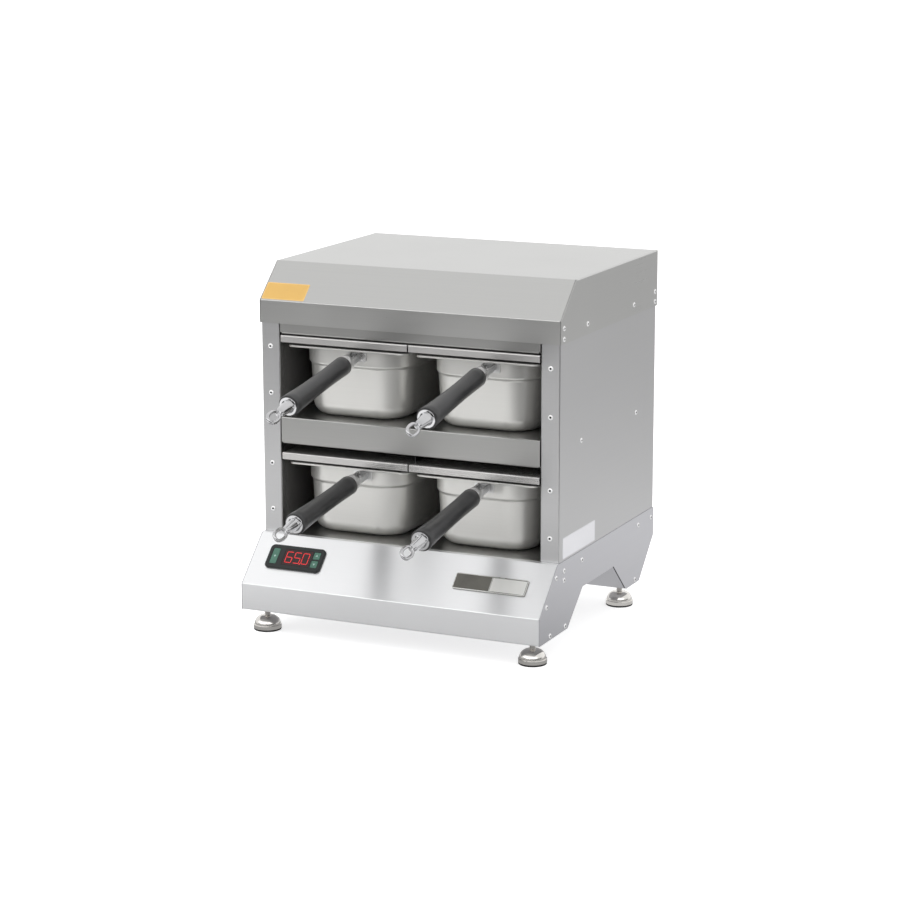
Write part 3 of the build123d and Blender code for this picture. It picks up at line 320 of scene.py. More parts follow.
plainLooks = {
    "handleChrome": {"color": (0.55, 0.55, 0.56), "rough": 0.10, "metal": 1.0, "bump": 0.02,
                     "roughSpread": 0.06},
    "ferruleSteel": {"color": (0.74, 0.74, 0.74), "rough": 0.27, "metal": 0.85, "bump": 0.02,
                     "roughSpread": 0.06},
    "footChrome": {"color": (0.74, 0.72, 0.69), "rough": 0.14, "metal": 1.0, "bump": 0.02,
                   "roughSpread": 0.06},
    "rivetMetal": {"color": (0.90, 0.90, 0.90), "rough": 0.42, "metal": 0.45, "bump": 0.03},
    # near black for the rivets' pin holes: painted shade of the hole's depth
    "rivetHoleShade": {"color": (0.03, 0.03, 0.03), "rough": 0.6, "metal": 0.5, "bump": 0.1},
    "gripPlastic": {"color": (0.026, 0.026, 0.027), "rough": 0.30, "bump": 0.10,
                    "contrast": 0.5},
    "footRubber": {"color": (0.012, 0.012, 0.012), "rough": 0.75, "bump": 0.15,
                   "contrast": 0.5},
    "controllerPlastic": {"color": (0.006, 0.008, 0.008), "rough": 0.28, "bump": 0.06,
                          "contrast": 0.5},
    "windowPlastic": {"color": (0.020, 0.004, 0.005), "rough": 0.10, "bump": 0.0,
                      "contrast": 0.3},
    "keyPlastic": {"color": (0.045, 0.125, 0.090), "rough": 0.38, "contrast": 0.3},
    "keyMark": {"color": (0.30, 0.42, 0.38), "rough": 0.4, "bump": 0.03},
    "digitUnlit": {"color": (0.035, 0.004, 0.004), "rough": 0.25, "bump": 0.0,
                   "contrast": 0.3},
    "digitLit": {"color": (0.52, 0.015, 0.02), "rough": 0.3, "bump": 0.0, "contrast": 0.2,
                 "glow": (1.0, 0.03, 0.03), "glowStrength": 0.45},
    "insulationWool": {"color": (0.62, 0.55, 0.36), "rough": 0.95, "bump": 0.9,
                       "speckSize": 300.0},
    "limiterPlastic": {"color": (0.035, 0.028, 0.024), "rough": 0.5, "bump": 0.08},
    "terminalPlastic": {"color": (0.70, 0.68, 0.60), "rough": 0.45},
    "glandPlastic": {"color": (0.02, 0.02, 0.02), "rough": 0.45, "bump": 0.08},
    "badgeRim": {"color": (0.62, 0.62, 0.60), "rough": 0.22, "metal": 1.0, "bump": 0.02},
    "badgeDark": {"color": (0.085, 0.082, 0.072), "rough": 0.34, "metal": 0.3, "bump": 0.08,
                  "contrast": 0.5},
    "badgePale": {"color": (0.66, 0.66, 0.64), "rough": 0.36, "metal": 0.6, "bump": 0.10,
                  "contrast": 0.1},
    # dark finish for the fine printed line, and on the plate's sides as painted shade
    "badgeLineAndSideShade": {"color": (0.10, 0.10, 0.09), "rough": 0.4, "metal": 0.2},
    "amberFilm": {"color": (0.56, 0.34, 0.085), "rough": 0.34, "bump": 0.02,
                  "contrast": 0.06},
    "amberFilmEdge": {"color": (0.63, 0.41, 0.15), "rough": 0.34, "bump": 0.02,
                      "contrast": 0.06},
    "whiteFilm": {"color": (0.80, 0.80, 0.83), "rough": 0.38, "bump": 0.02,
                  "contrast": 0.02},
    "whiteFilmEdge": {"color": (0.72, 0.72, 0.75), "rough": 0.38, "bump": 0.02,
                      "contrast": 0.02},
}
finishes = {name: steelMaterial(name, look) for name, look in steelLooks.items()}
finishes.update({name: plainMaterial(name, look) for name, look in plainLooks.items()})

# a key that ends in _ stands for every node whose name starts with it
nodeFinishes = {
    "hood_shell": "hoodSteel",
    "body_side_left": "bodySteel",
    "body_side_right": "bodySteel",
    "rear_panel": "bodySteel",
    "base_front_panel": "baseSteelPaintedBright",
    "base_bottom": "baseSideSteel",
    "base_side_left": "baseSideSteel",
    "base_side_right": "baseSideSteel",
    "upper_tray": "shelfSteelPaintedShade",
    "lower_tray": "shelfSteelPaintedShade",
    "ceiling_panel": "shelfSteelPaintedShade",
    "upper_tray_underside": "chamberSteelPaintedShade",
    "chamber_liner": "chamberSteelPaintedShade",
    "cover_ledges": "chamberSteelPaintedShade",
    "cover_centre_rails": "railSteelPaintedShade",
    "cover_": "coverSteel",
    "pan_": "panSteel",
    "handle_": "handleChrome",
    "grip_": "gripPlastic",
    "foot_pad_": "footRubber",
    "foot_nuts": "zincSteel",
    "foot_": "footChrome",
    "front_rivets": "rivetMetal",
    "side_rivets": "rivetMetal",
    "rear_screws": "zincSteel",
    "controller_clips": "zincSteel",
    "controller_housing": "controllerPlastic",
    "controller_window": "windowPlastic",
    "controller_": "keyPlastic",
    "insulation_": "insulationWool",
    "heating_element_": "elementSteel",
    "temperature_probe": "zincSteel",
    "safety_thermostat": "limiterPlastic",
    "terminal_block": "terminalPlastic",
    "cable_gland": "glandPlastic",
}


def finishFor(name):
    if name in nodeFinishes:
        return finishes[nodeFinishes[name]]
    starts = [key for key in nodeFinishes if key.endswith("_") and name.startswith(key)]
    return finishes[nodeFinishes[max(starts, key=len)]]


for name, obj in nodes.items():
    for slot in obj.material_slots:
        slot.material = finishFor(name)
print("finishes placed")


# modelling helpers: a piece starts from a primitive, and ends at the origin
# with its place in its mesh

def startPiece():
    bpy.ops.object.select_all(action="DESELECT")


def pickOnly(obj):
    bpy.ops.object.select_all(action="DESELECT")
    obj.select_set(True)
    bpy.context.view_layer.objects.active = obj


def pickFaces(obj, test):
    # in edit mode, selects the faces whose middle and normal pass the test
    bpy.ops.mesh.select_mode(type="FACE")
    bpy.ops.mesh.select_all(action="DESELECT")
    mesh = bmesh.from_edit_mesh(obj.data)
    for face in mesh.faces:
        if test(face.calc_center_median(), face.normal):
            face.select_set(True)
    bmesh.update_edit_mesh(obj.data)


def pickEdges(obj, test):
    # in edit mode, selects the edges whose two ends pass the test
    bpy.ops.mesh.select_mode(type="EDGE")
    bpy.ops.mesh.select_all(action="DESELECT")
    mesh = bmesh.from_edit_mesh(obj.data)
    for edge in mesh.edges:
        if test(edge.verts[0].co, edge.verts[1].co):
            edge.select_set(True)
    bmesh.update_edit_mesh(obj.data)


def pullFaces(step):
    # in edit mode, extrudes what is selected by a step
    bpy.ops.mesh.extrude_region_move(TRANSFORM_OT_translate={"value": step})


def faceOutwards():
    # in edit mode, turns every face's normal outwards
    bpy.ops.mesh.select_all(action="SELECT")
    bpy.ops.mesh.normals_make_consistent(inside=False)


def paintFaces(obj, slot):
    # in edit mode, gives the selected faces the finish in a slot
    obj.active_material_index = slot
    bpy.ops.object.material_slot_assign()


def giveFinish(obj, *names):
    obj.data.materials.clear()
    for name in names:
        obj.data.materials.append(finishes[name])


def placePiece(obj, place):
    # moves a piece by a matrix and puts the place into its mesh
    obj.matrix_world = place
    pickOnly(obj)
    bpy.ops.object.transform_apply(location=True, rotation=True, scale=True)


def copyPiece(obj):
    copy = obj.copy()
    copy.data = obj.data.copy()
    bpy.context.scene.collection.objects.link(copy)
    return copy


def joinPieces(objs):
    bpy.ops.object.select_all(action="DESELECT")
    for obj in objs:
        obj.select_set(True)
    bpy.context.view_layer.objects.active = objs[0]
    bpy.ops.object.join()
    return bpy.context.object


def ridePiece(obj, name, body, *stands):
    obj.name = name
    obj.data.name = name
    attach(obj, body)
    if stands:
        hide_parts(*stands)


def turnedPiece(profile, sides, crease=35, ribs=1.0):
    # closed piece turned about Z: each (height, radius) is one more ring, pulled up and
    # resized, and ribs below 1 draws every second line inwards
    startPiece()
    height, radius = profile[0]
    bpy.ops.mesh.primitive_circle_add(vertices=sides, radius=radius, fill_type="NGON",
                                      location=(0, 0, 0))
    obj = bpy.context.object
    bpy.ops.object.mode_set(mode="EDIT")
    if ribs != 1.0:
        bpy.ops.mesh.select_mode(type="VERT")
        bpy.ops.mesh.select_all(action="DESELECT")
        mesh = bmesh.from_edit_mesh(obj.data)
        for i, vert in enumerate(mesh.verts):
            vert.select_set(i % 2 == 0)
        bmesh.update_edit_mesh(obj.data)
        bpy.ops.transform.resize(value=(ribs, ribs, 1), center_override=(0, 0, 0))
        bpy.ops.mesh.select_mode(type="FACE")
    bpy.ops.mesh.select_all(action="SELECT")
    bpy.ops.transform.translate(value=(0, 0, height))
    for nextHeight, nextRadius in profile[1:]:
        pullFaces((0, 0, nextHeight - height))
        grow = nextRadius / radius
        bpy.ops.transform.resize(value=(grow, grow, 1), center_override=(0, 0, nextHeight))
        height, radius = nextHeight, nextRadius
    faceOutwards()
    bpy.ops.object.mode_set(mode="OBJECT")
    bpy.ops.object.shade_smooth_by_angle(angle=math.radians(crease))
    return obj


def thinPlate(width, height, thickness, corner, edge):
    # flat plate on Z = 0 with rounded corners and a softened upper edge
    startPiece()
    bpy.ops.mesh.primitive_cube_add(size=1, location=(0, 0, 0))
    obj = bpy.context.object
    bpy.ops.object.mode_set(mode="EDIT")
    bpy.ops.mesh.select_all(action="SELECT")
    bpy.ops.transform.resize(value=(width, height, thickness), center_override=(0, 0, 0))
    bpy.ops.transform.translate(value=(0, 0, thickness / 2))
    pickEdges(obj, lambda a, b: abs(a.z - b.z) > thickness / 2)
    bpy.ops.mesh.bevel(offset=corner, segments=5)
    pickEdges(obj, lambda a, b: a.z > thickness * 0.99 and b.z > thickness * 0.99)
    bpy.ops.mesh.bevel(offset=edge, segments=2)
    bpy.ops.object.mode_set(mode="OBJECT")
    bpy.ops.object.shade_flat()
    return obj


def facing(normal, up, place):
    # matrix that stands a piece's Z on a normal, its Y along up
    normal = Vector(normal).normalized()
    across = Vector(up).cross(normal).normalized()
    up = normal.cross(across)
    return Matrix.Translation(place) @ Matrix((across, up, normal)).transposed().to_4x4()


# black grips, waisted along their length and finely ribbed

gripShape = {
    "length": 0.1415,
    "nearRadius": 0.0118,
    "waistRadius": 0.0112,
    "farRadius": 0.0134,
    "endRound": 0.0012,
    "rings": 14,
    "ribs": 36,
    "ribDepth": 0.988,
    "crease": 50,
    "droop": {"upper_left": 9.7, "upper_right": 9.5, "lower_left": 6.9, "lower_right": 8.2},
}


def gripProfile(shape):
    near, waist, far = shape["nearRadius"], shape["waistRadius"], shape["farRadius"]
    bend = 2 * (near + far - 2 * waist)
    end, length = shape["endRound"], shape["length"]

    def radiusAt(along):
        share = along / length
        return near + (far - near - bend) * share + bend * share * share

    rings = [(0.0, radiusAt(0) - end), (0.25 * end, radiusAt(0) - 0.45 * end)]
    for i in range(shape["rings"] + 1):
        height = end + (length - 2 * end) * i / shape["rings"]
        rings.append((height, radiusAt(height)))
    rings += [(length - 0.25 * end, radiusAt(length) - 0.45 * end),
              (length, radiusAt(length) - end)]
    return rings


def makeGrips():
    model = turnedPiece(gripProfile(gripShape), 2 * gripShape["ribs"], gripShape["crease"],
                        gripShape["ribDepth"])
    giveFinish(model, "gripPlastic")
    for name in gripShape["droop"]:
        near, along = gripAxis(name)
        copy = copyPiece(model)
        placePiece(copy, facing(along, (0, 0, 1), near))
        ridePiece(copy, "grip_ribbed_" + name, name + "_pan", "grip_" + name)
    bpy.data.objects.remove(model)


# polished steel of the handles: ferrule, channel arm, weld plate, end cap and hanging eye

handleShape = {
    "ferrule": [(0.0, 0.0095), (-0.0003, 0.0097), (-0.0114, 0.0097), (-0.0124, 0.0090),
                (-0.0130, 0.0080)],
    "cap": [(0.0, 0.0106), (0.0003, 0.0111), (0.0016, 0.0112), (0.0020, 0.0109),
            (0.0020, 0.0084), (0.0030, 0.0078), (0.0060, 0.0073), (0.0130, 0.0064),
            (0.0200, 0.0054), (0.0245, 0.0045), (0.0255, 0.0036)],
    "sides": 48, "crease": 40,
    "armWidth": 0.015, "armHeight": 0.009, "armWall": 0.002,
    "armStart": 0.010,                      # hidden inside the ferrule
    "armOver": 0.002,                       # past the weld plate, then cut off level with it
    "weldWidth": 0.0255, "weldHeight": 0.0118, "weldThickness": 0.0015,
    "weldMiddle": 0.010,                    # below the pan's rim
    "weldCorner": 0.002, "weldEdge": 0.0004,
    "neckSet": 0.0095,                      # pan's neck behind its rim
    "eyeReach": 0.037, "eyeLength": 0.0236, "eyeWidth": 0.0120, "wire": 0.0021,
    "eyeRoll": 56,
}


def makeEye(shape):
    # loop of round wire, longer than it is wide
    startPiece()
    bpy.ops.curve.primitive_bezier_circle_add(radius=shape["eyeWidth"] / 2, location=(0, 0, 0))
    obj = bpy.context.object
    longer = shape["eyeLength"] / shape["eyeWidth"]
    bpy.ops.object.mode_set(mode="EDIT")
    bpy.ops.curve.select_all(action="SELECT")
    bpy.ops.transform.resize(value=(1, longer, 1), center_override=(0, 0, 0))
    bpy.ops.object.mode_set(mode="OBJECT")
    obj.data.bevel_depth = shape["wire"]
    obj.data.bevel_resolution = 4
    obj.data.resolution_u = 14
    bpy.ops.object.convert(target="MESH")
    bpy.ops.object.shade_smooth()
    return bpy.context.object


def makeArm(shape, reach):
    # channel, open on top, along Z and a little past the weld plate
    startPiece()
    bpy.ops.mesh.primitive_cube_add(size=1, location=(0, 0, 0))
    obj = bpy.context.object
    width, height, wall = shape["armWidth"], shape["armHeight"], shape["armWall"]
    length = reach - shape["armStart"]
    bpy.ops.object.mode_set(mode="EDIT")
    bpy.ops.mesh.select_all(action="SELECT")
    bpy.ops.transform.resize(value=(width, height, length), center_override=(0, 0, 0))
    bpy.ops.transform.translate(value=(0, 0, -shape["armStart"] - length / 2))
    pickEdges(obj, lambda a, b: abs(a.z - b.z) > length / 2 and a.y < 0)
    bpy.ops.mesh.bevel(offset=wall, segments=4)
    pickFaces(obj, lambda middle, normal: normal.y > 0.9)
    bpy.ops.mesh.inset(thickness=wall, depth=0)
    pullFaces((0, wall - height, 0))
    bpy.ops.object.mode_set(mode="OBJECT")
    bpy.ops.object.shade_smooth_by_angle(angle=math.radians(shape["crease"]))
    return obj


def cutAtWall(arm, wall):
    # takes off what reaches past the weld plate, and closes the end
    pickOnly(arm)
    bpy.ops.object.mode_set(mode="EDIT")
    bpy.ops.mesh.select_all(action="SELECT")
    bpy.ops.mesh.bisect(plane_co=(0, wall, 0), plane_no=(0, 1, 0), use_fill=True,
                        clear_outer=True)
    faceOutwards()
    bpy.ops.object.mode_set(mode="OBJECT")


def gripAxis(name):
    # near end of a grip's middle line and the way it runs outwards, from its node's box
    low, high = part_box("grip_" + name)
    tilt = math.radians(gripShape["droop"][name])
    end = gripShape["endRound"]
    core = gripShape["nearRadius"] - end
    near = Vector(((low.x + high.x) / 2,
                   high.y - core * math.sin(tilt) - end * (1 - math.cos(tilt)),
                   high.z - core * math.cos(tilt) - end * (1 - math.sin(tilt))))
    return near, Vector((0, -math.cos(tilt), -math.sin(tilt)))


def makeHandles():
    shape = handleShape
    ferrule = turnedPiece(shape["ferrule"], shape["sides"], shape["crease"])
    cap = turnedPiece(shape["cap"], shape["sides"], shape["crease"])
    eye = makeEye(shape)
    weld = thinPlate(shape["weldWidth"], shape["weldHeight"], shape["weldThickness"],
                     shape["weldCorner"], shape["weldEdge"])
    for model, finish in ((ferrule, "ferruleSteel"), (cap, "handleChrome"),
                          (eye, "handleChrome"), (weld, "ferruleSteel")):
        giveFinish(model, finish)
    far = Matrix.Translation((0, 0, gripShape["length"]))
    roll = (Matrix.Rotation(math.radians(-shape["eyeRoll"]), 4, "Z")
            @ Matrix.Rotation(math.radians(90), 4, "X"))
    eyePlace = far @ Matrix.Translation((0, 0, shape["eyeReach"])) @ roll
    for name in gripShape["droop"]:
        near, along = gripAxis(name)
        panLow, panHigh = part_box("pan_" + name)
        neck = panLow.y + shape["neckSet"]
        wall = neck - shape["weldThickness"]
        place = facing(along, (0, 0, 1), near)
        arm = makeArm(shape, (wall - near.y) / -along.y + shape["armOver"])
        giveFinish(arm, "ferruleSteel")
        placePiece(arm, place)
        cutAtWall(arm, wall)
        onNeck = Vector((near.x, neck, panHigh.z - shape["weldMiddle"]))
        pieces = [arm]
        for model, spot in ((ferrule, place), (cap, place @ far), (eye, place @ eyePlace),
                            (weld, facing((0, -1, 0), (0, 0, 1), onNeck))):
            copy = copyPiece(model)
            placePiece(copy, spot)
            pieces.append(copy)
        ridePiece(joinPieces(pieces), "handle_steel_" + name, name + "_pan", "handle_" + name)
    for model in (ferrule, cap, eye, weld):
        bpy.data.objects.remove(model)


makeGrips()
makeHandles()
print("grips and handles made")


# blind rivets: a domed ring round the pin hole, its end painted near black as painted shade of the
# hole's depth

rivetShape = {
    "rings": [(0.0, 0.0032), (0.0004, 0.00315), (0.00085, 0.0027), (0.00112, 0.0021),
              (0.00112, 0.0017), (0.0009, 0.00138), (0.0002, 0.0013)],
    "sides": 16, "crease": 40,
    "height": 0.0012,
    "pinRadius": 0.00145,
    "pinTop": 0.0008,
}


def headPlaces(node):
    # middle of every head in a node that holds many, from a copy split into its loose parts
    copy = copyPiece(nodes[node])
    copy.parent = None
    pickOnly(copy)
    bpy.ops.object.mode_set(mode="EDIT")
    bpy.ops.mesh.select_all(action="SELECT")
    bpy.ops.mesh.remove_doubles(threshold=0.00001)
    bpy.ops.mesh.separate(type="LOOSE")
    bpy.ops.object.mode_set(mode="OBJECT")
    parts = list(bpy.context.selected_objects)
    places = []
    for part in parts:
        corners = [Vector(corner) for corner in part.bound_box]
        places.append(sum(corners, Vector()) / 8)
    for part in parts:
        bpy.data.objects.remove(part)
    return places


def makeRivets():
    shape = rivetShape
    model = turnedPiece(shape["rings"], shape["sides"], shape["crease"])
    giveFinish(model, "rivetMetal", "rivetHoleShade")
    # faces down in the pin hole take the near-black finish, painted shade
    for face in model.data.polygons:
        x, y, z = face.center
        inShadedPinHole = math.hypot(x, y) < shape["pinRadius"] and z < shape["pinTop"]
        face.material_index = 1 if inShadedPinHole else 0
    for node, name in (("front_rivets", "rivet_heads_front"), ("side_rivets", "rivet_heads_side")):
        heads = []
        for place in headPlaces(node):
            normal = Vector((0, -1, 0))
            if node == "side_rivets":
                normal = Vector((math.copysign(1, place.x), 0, 0))
            head = copyPiece(model)
            placePiece(head, facing(normal, (0, 0, 1), place - normal * shape["height"] / 2))
            heads.append(head)
        ridePiece(joinPieces(heads), name, "cabinet", node)
    bpy.data.objects.remove(model)


makeRivets()
print("rivets made")


# levelling feet: polished bell with a skirt and a dome, on a threaded stud

footShape = {
    "low": 0.002, "skirt": 0.0066, "radius": 0.0174,
    "groove": 0.0012,                       # dome set in from the skirt
    "domeTop": 0.018, "topRadius": 0.0055, "domeRings": 12, "sides": 48, "crease": 38,
    "stud": 0.0039, "studTop": 0.056, "threadDepth": 0.0005, "pitch": 0.00125,
    "names": ("front_left", "front_right", "rear_left", "rear_right"),
}


def footProfile(shape):
    low, skirt, radius = shape["low"], shape["skirt"], shape["radius"]
    shoulder = radius - shape["groove"]
    domeLow = skirt + 0.0006
    rings = [(low, radius - 0.0006), (low + 0.0003, radius), (skirt, radius),
             (skirt + 0.0005, radius - 0.0004), (domeLow, shoulder)]
    for i in range(1, shape["domeRings"] + 1):
        turn = i / shape["domeRings"] * math.pi / 2
        rings.append((domeLow + (shape["domeTop"] - domeLow) * math.sin(turn),
                      shape["topRadius"] + (shoulder - shape["topRadius"]) * math.cos(turn)))
    stud, pitch, height = shape["stud"], shape["pitch"], shape["domeTop"]
    rings.append((height, stud))
    while height + pitch < shape["studTop"] - 0.001:
        rings += [(height + pitch / 2, stud - shape["threadDepth"]), (height + pitch, stud)]
        height += pitch
    rings += [(shape["studTop"] - 0.0006, stud), (shape["studTop"], stud - 0.0006)]
    return rings


def makeFeet():
    model = turnedPiece(footProfile(footShape), footShape["sides"], footShape["crease"])
    giveFinish(model, "footChrome")
    for name in footShape["names"]:
        low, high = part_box("foot_" + name)
        copy = copyPiece(model)
        placePiece(copy, Matrix.Translation(((low.x + high.x) / 2, (low.y + high.y) / 2, 0)))
        ridePiece(copy, "foot_bell_" + name, name + "_foot", "foot_" + name)
    bpy.data.objects.remove(model)


makeFeet()
print("feet made")


# what lies flat on the two slopes and on the right side

slopeFolds = {
    "baseSet": 0.0064,                      # base slope's top in front of the side flanges
    "baseLip": 0.0332,
    "hoodLip": 0.0282,
    "hoodRun": (0, 0.0459, 0.0427),
}
baseLow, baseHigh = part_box("base_front_panel")
bodyLow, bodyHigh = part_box("body_side_right")
baseSlopeTop = Vector((0, bodyLow.y - slopeFolds["baseSet"], baseHigh.z))
baseSlopeFoot = Vector((0, baseLow.y, baseLow.z + slopeFolds["baseLip"]))
hoodSlopeFoot = Vector((0, hoodLow.y, hoodLow.z + slopeFolds["hoodLip"]))
hoodSlopeTop = hoodSlopeFoot + Vector(slopeFolds["hoodRun"])


def slopeWays(top, foot):
    # a slope's way down and its outward normal
    way = (foot - top).normalized()
    return way, Vector((1, 0, 0)).cross(-way)


def onSlope(top, foot, across, down, proud=0.0):
    # place on a slope, measured across from the middle and down from its top
    way, normal = slopeWays(top, foot)
    return facing(normal, -way, top + way * down + Vector((across, 0, 0)) + normal * proud)


badgeShape = {
    "across": 0.1245, "down": 0.0375,
    "width": 0.0945, "height": 0.0222, "thickness": 0.0018,
    "corner": 0.0022, "edge": 0.0003, "rim": 0.0009, "sink": 0.0004,
    "lineInset": 0.0006, "line": 0.0004,
}


def makeBadge():
    # blank two-tone plate: rim, sunk field split in the middle, a fine line round the right half,
    # and its sides painted dark as painted shade
    shape = badgeShape
    obj = thinPlate(shape["width"], shape["height"], shape["thickness"], shape["corner"],
                    shape["edge"])
    giveFinish(obj, "badgeRim", "badgeDark", "badgePale", "badgeLineAndSideShade")
    dark, pale, lineAndSideShade = 1, 2, 3          # their places among those finishes
    top = shape["thickness"] * 0.99
    field = shape["thickness"] - shape["sink"]
    edge, line = shape["lineInset"], shape["line"]
    right = shape["width"] / 2 - shape["rim"] - edge
    high = shape["height"] / 2 - shape["rim"] - edge

    def inField(middle, normal):
        return abs(middle.z - field) < 0.00005 and normal.z > 0.99

    def onLine(middle, normal):
        if not inField(middle, normal):
            return False
        x, y = middle.x, abs(middle.y)
        inner = edge + line < x < right - line and y < high - line
        outer = x < edge or x > right or y > high
        return not inner and not outer and x > 0

    bpy.ops.object.mode_set(mode="EDIT")
    # the plate's sides take the dark finish: painted shade along the badge's edges
    pickFaces(obj, lambda middle, normal: normal.z < 0.3)
    paintFaces(obj, lineAndSideShade)
    pickFaces(obj, lambda middle, normal: middle.z > top and normal.z > 0.99)
    bpy.ops.mesh.inset(thickness=shape["rim"], depth=0)
    pullFaces((0, 0, -shape["sink"]))
    bpy.ops.mesh.bisect(plane_co=(0, 0, 0), plane_no=(1, 0, 0))
    pickFaces(obj, lambda middle, normal: inField(middle, normal) and middle.x < 0)
    paintFaces(obj, dark)
    pickFaces(obj, lambda middle, normal: inField(middle, normal) and middle.x > 0)
    paintFaces(obj, pale)
    bpy.ops.mesh.inset(thickness=edge, depth=0)
    bpy.ops.mesh.inset(thickness=line, depth=0)
    pickFaces(obj, onLine)
    paintFaces(obj, lineAndSideShade)
    bpy.ops.object.mode_set(mode="OBJECT")
    placePiece(obj, onSlope(baseSlopeTop, baseSlopeFoot, shape["across"], shape["down"]))
    ridePiece(obj, "blank_badge", "cabinet")


stickerShape = {
    "amber": {"across": -0.16925, "down": 0.0480, "width": 0.0585, "height": 0.0260,
              "border": 0.0013},
    "white": {"y": 0.0020, "z": 0.13175, "width": 0.1030, "height": 0.0260,
              "border": 0.0011},
    "thickness": 0.00015,
    "corner": 0.0016,
    "edge": 0.00003,
}


def makeStickers():
    # both are blank film with a fine border, and every border is narrower than the corners
    shape = stickerShape
    white = Vector((bodyHigh.x, shape["white"]["y"], shape["white"]["z"]))
    places = {
        "amber": onSlope(hoodSlopeTop, hoodSlopeFoot, shape["amber"]["across"],
                         shape["amber"]["down"]),
        "white": facing((1, 0, 0), (0, 0, 1), white),
    }
    for name, place in places.items():
        size = shape[name]
        obj = thinPlate(size["width"], size["height"], shape["thickness"], shape["corner"],
                        shape["edge"])
        giveFinish(obj, name + "Film", name + "FilmEdge")
        top = shape["thickness"] * 0.99
        bpy.ops.object.mode_set(mode="EDIT")
        pickFaces(obj, lambda middle, normal: middle.z > top and normal.z > 0.99)
        paintFaces(obj, 1)
        bpy.ops.mesh.inset(thickness=size["border"], depth=0)
        paintFaces(obj, 0)
        bpy.ops.object.mode_set(mode="OBJECT")
        placePiece(obj, place)
        ridePiece(obj, "blank_label_" + name, "cabinet")


makeBadge()
makeStickers()
print("badge and labels made")


# controller: lit digits and the marks on its keys

displayShape = {
    "numbers": "650",
    "pointAfter": 1, "point": 0.0009, "pointTop": 0.00085, "pointDrop": 0.0004,
    "digitWidth": 0.0082, "digitHeight": 0.0150, "pitch": 0.0112,
    "bar": 0.0009, "gap": 0.0004, "proud": 0.00325, "thickness": 0.00008,
    "controllerAcross": -0.1395, "controllerDown": 0.0340, "windowShift": 0.0035,
}
litBars = {"6": "acdefg", "5": "acdfg", "0": "abcdef"}


def makeBar(length, shape):
    # flat bar with pointed ends along X: a circle of six, pressed flat, its long sides drawn out
    startPiece()
    bpy.ops.mesh.primitive_circle_add(vertices=6, radius=length / 2, fill_type="NGON",
                                      location=(0, 0, 0))
    obj = bpy.context.object
    tip = length / 2 - shape["bar"] / 2
    flatter = shape["bar"] / (length * math.sin(math.radians(60)))
    bpy.ops.object.mode_set(mode="EDIT")
    bpy.ops.mesh.select_all(action="SELECT")
    bpy.ops.transform.rotate(value=math.radians(90), orient_axis="Z", center_override=(0, 0, 0))
    bpy.ops.transform.resize(value=(1, flatter, 1), center_override=(0, 0, 0))
    bpy.ops.mesh.select_mode(type="VERT")
    bpy.ops.mesh.select_all(action="DESELECT")
    mesh = bmesh.from_edit_mesh(obj.data)
    for vert in mesh.verts:
        if abs(vert.co.y) > shape["bar"] / 4:
            vert.select_set(True)
    bmesh.update_edit_mesh(obj.data)
    bpy.ops.transform.resize(value=(tip / (length / 4), 1, 1), center_override=(0, 0, 0))
    bpy.ops.mesh.select_mode(type="FACE")
    bpy.ops.mesh.select_all(action="SELECT")
    pullFaces((0, 0, shape["thickness"]))
    faceOutwards()
    bpy.ops.object.mode_set(mode="OBJECT")
    return obj


def makeDigits():
    shape = displayShape
    wide, half = shape["digitWidth"] / 2, shape["digitHeight"] / 2
    across = makeBar(shape["digitWidth"] - shape["gap"], shape)
    upright = makeBar(half - shape["gap"], shape)
    places = {
        "a": (across, 0, half), "g": (across, 0, 0), "d": (across, 0, -half),
        "f": (upright, -wide, half / 2), "b": (upright, wide, half / 2),
        "e": (upright, -wide, -half / 2), "c": (upright, wide, -half / 2),
    }
    lit, unlit = [], []
    for i, number in enumerate(shape["numbers"]):
        for bar, (model, x, y) in places.items():
            copy = copyPiece(model)
            turn = Matrix.Rotation(math.radians(90 if model is upright else 0), 4, "Z")
            placePiece(copy, Matrix.Translation(((i - 1) * shape["pitch"] + x, y, 0)) @ turn)
            (lit if bar in litBars[number] else unlit).append(copy)
    point = turnedPiece([(0, shape["point"]), (shape["thickness"], shape["pointTop"])], 12)
    pointAcross = (shape["pointAfter"] - 0.5) * shape["pitch"]
    placePiece(point, Matrix.Translation((pointAcross, -half - shape["pointDrop"], 0)))
    lit.append(point)
    bpy.data.objects.remove(across)
    bpy.data.objects.remove(upright)
    place = onSlope(baseSlopeTop, baseSlopeFoot, shape["controllerAcross"] + shape["windowShift"],
                    shape["controllerDown"], shape["proud"])
    for bars, finish, name in ((lit, "digitLit", "display_digits"),
                               (unlit, "digitUnlit", "display_unlit")):
        obj = joinPieces(bars)
        giveFinish(obj, finish)
        placePiece(obj, place)
        ridePiece(obj, name, "cabinet")


keyMarks = {
    "set_key": {"sides": 24, "turn": 0, "radius": 0.0013},
    "up_key": {"sides": 3, "turn": 0, "radius": 0.0019},
    "down_key": {"sides": 3, "turn": 180, "radius": 0.0019},
    "height": 0.0001,
    "proud": 0.0032,                        # above the slope
}


def makeKeyMarks():
    # a raised mark on each key: a dot, and triangles that point up and down
    way, normal = slopeWays(baseSlopeTop, baseSlopeFoot)
    for name in ("set_key", "up_key", "down_key"):
        mark = keyMarks[name]
        rings = [(0, mark["radius"]), (keyMarks["height"], mark["radius"] * 0.94)]
        obj = turnedPiece(rings, mark["sides"], 20)
        giveFinish(obj, "keyMark")
        low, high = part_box("controller_" + name)
        middle = (low + high) / 2
        lift = keyMarks["proud"] - normal.dot(middle - baseSlopeTop)
        place = facing(normal, -way, middle + normal * lift)
        placePiece(obj, place @ Matrix.Rotation(math.radians(mark["turn"]), 4, "Z"))
        ridePiece(obj, "mark_" + name, name)


makeDigits()
makeKeyMarks()
print("controller details made")


# floor, room and soft studio light

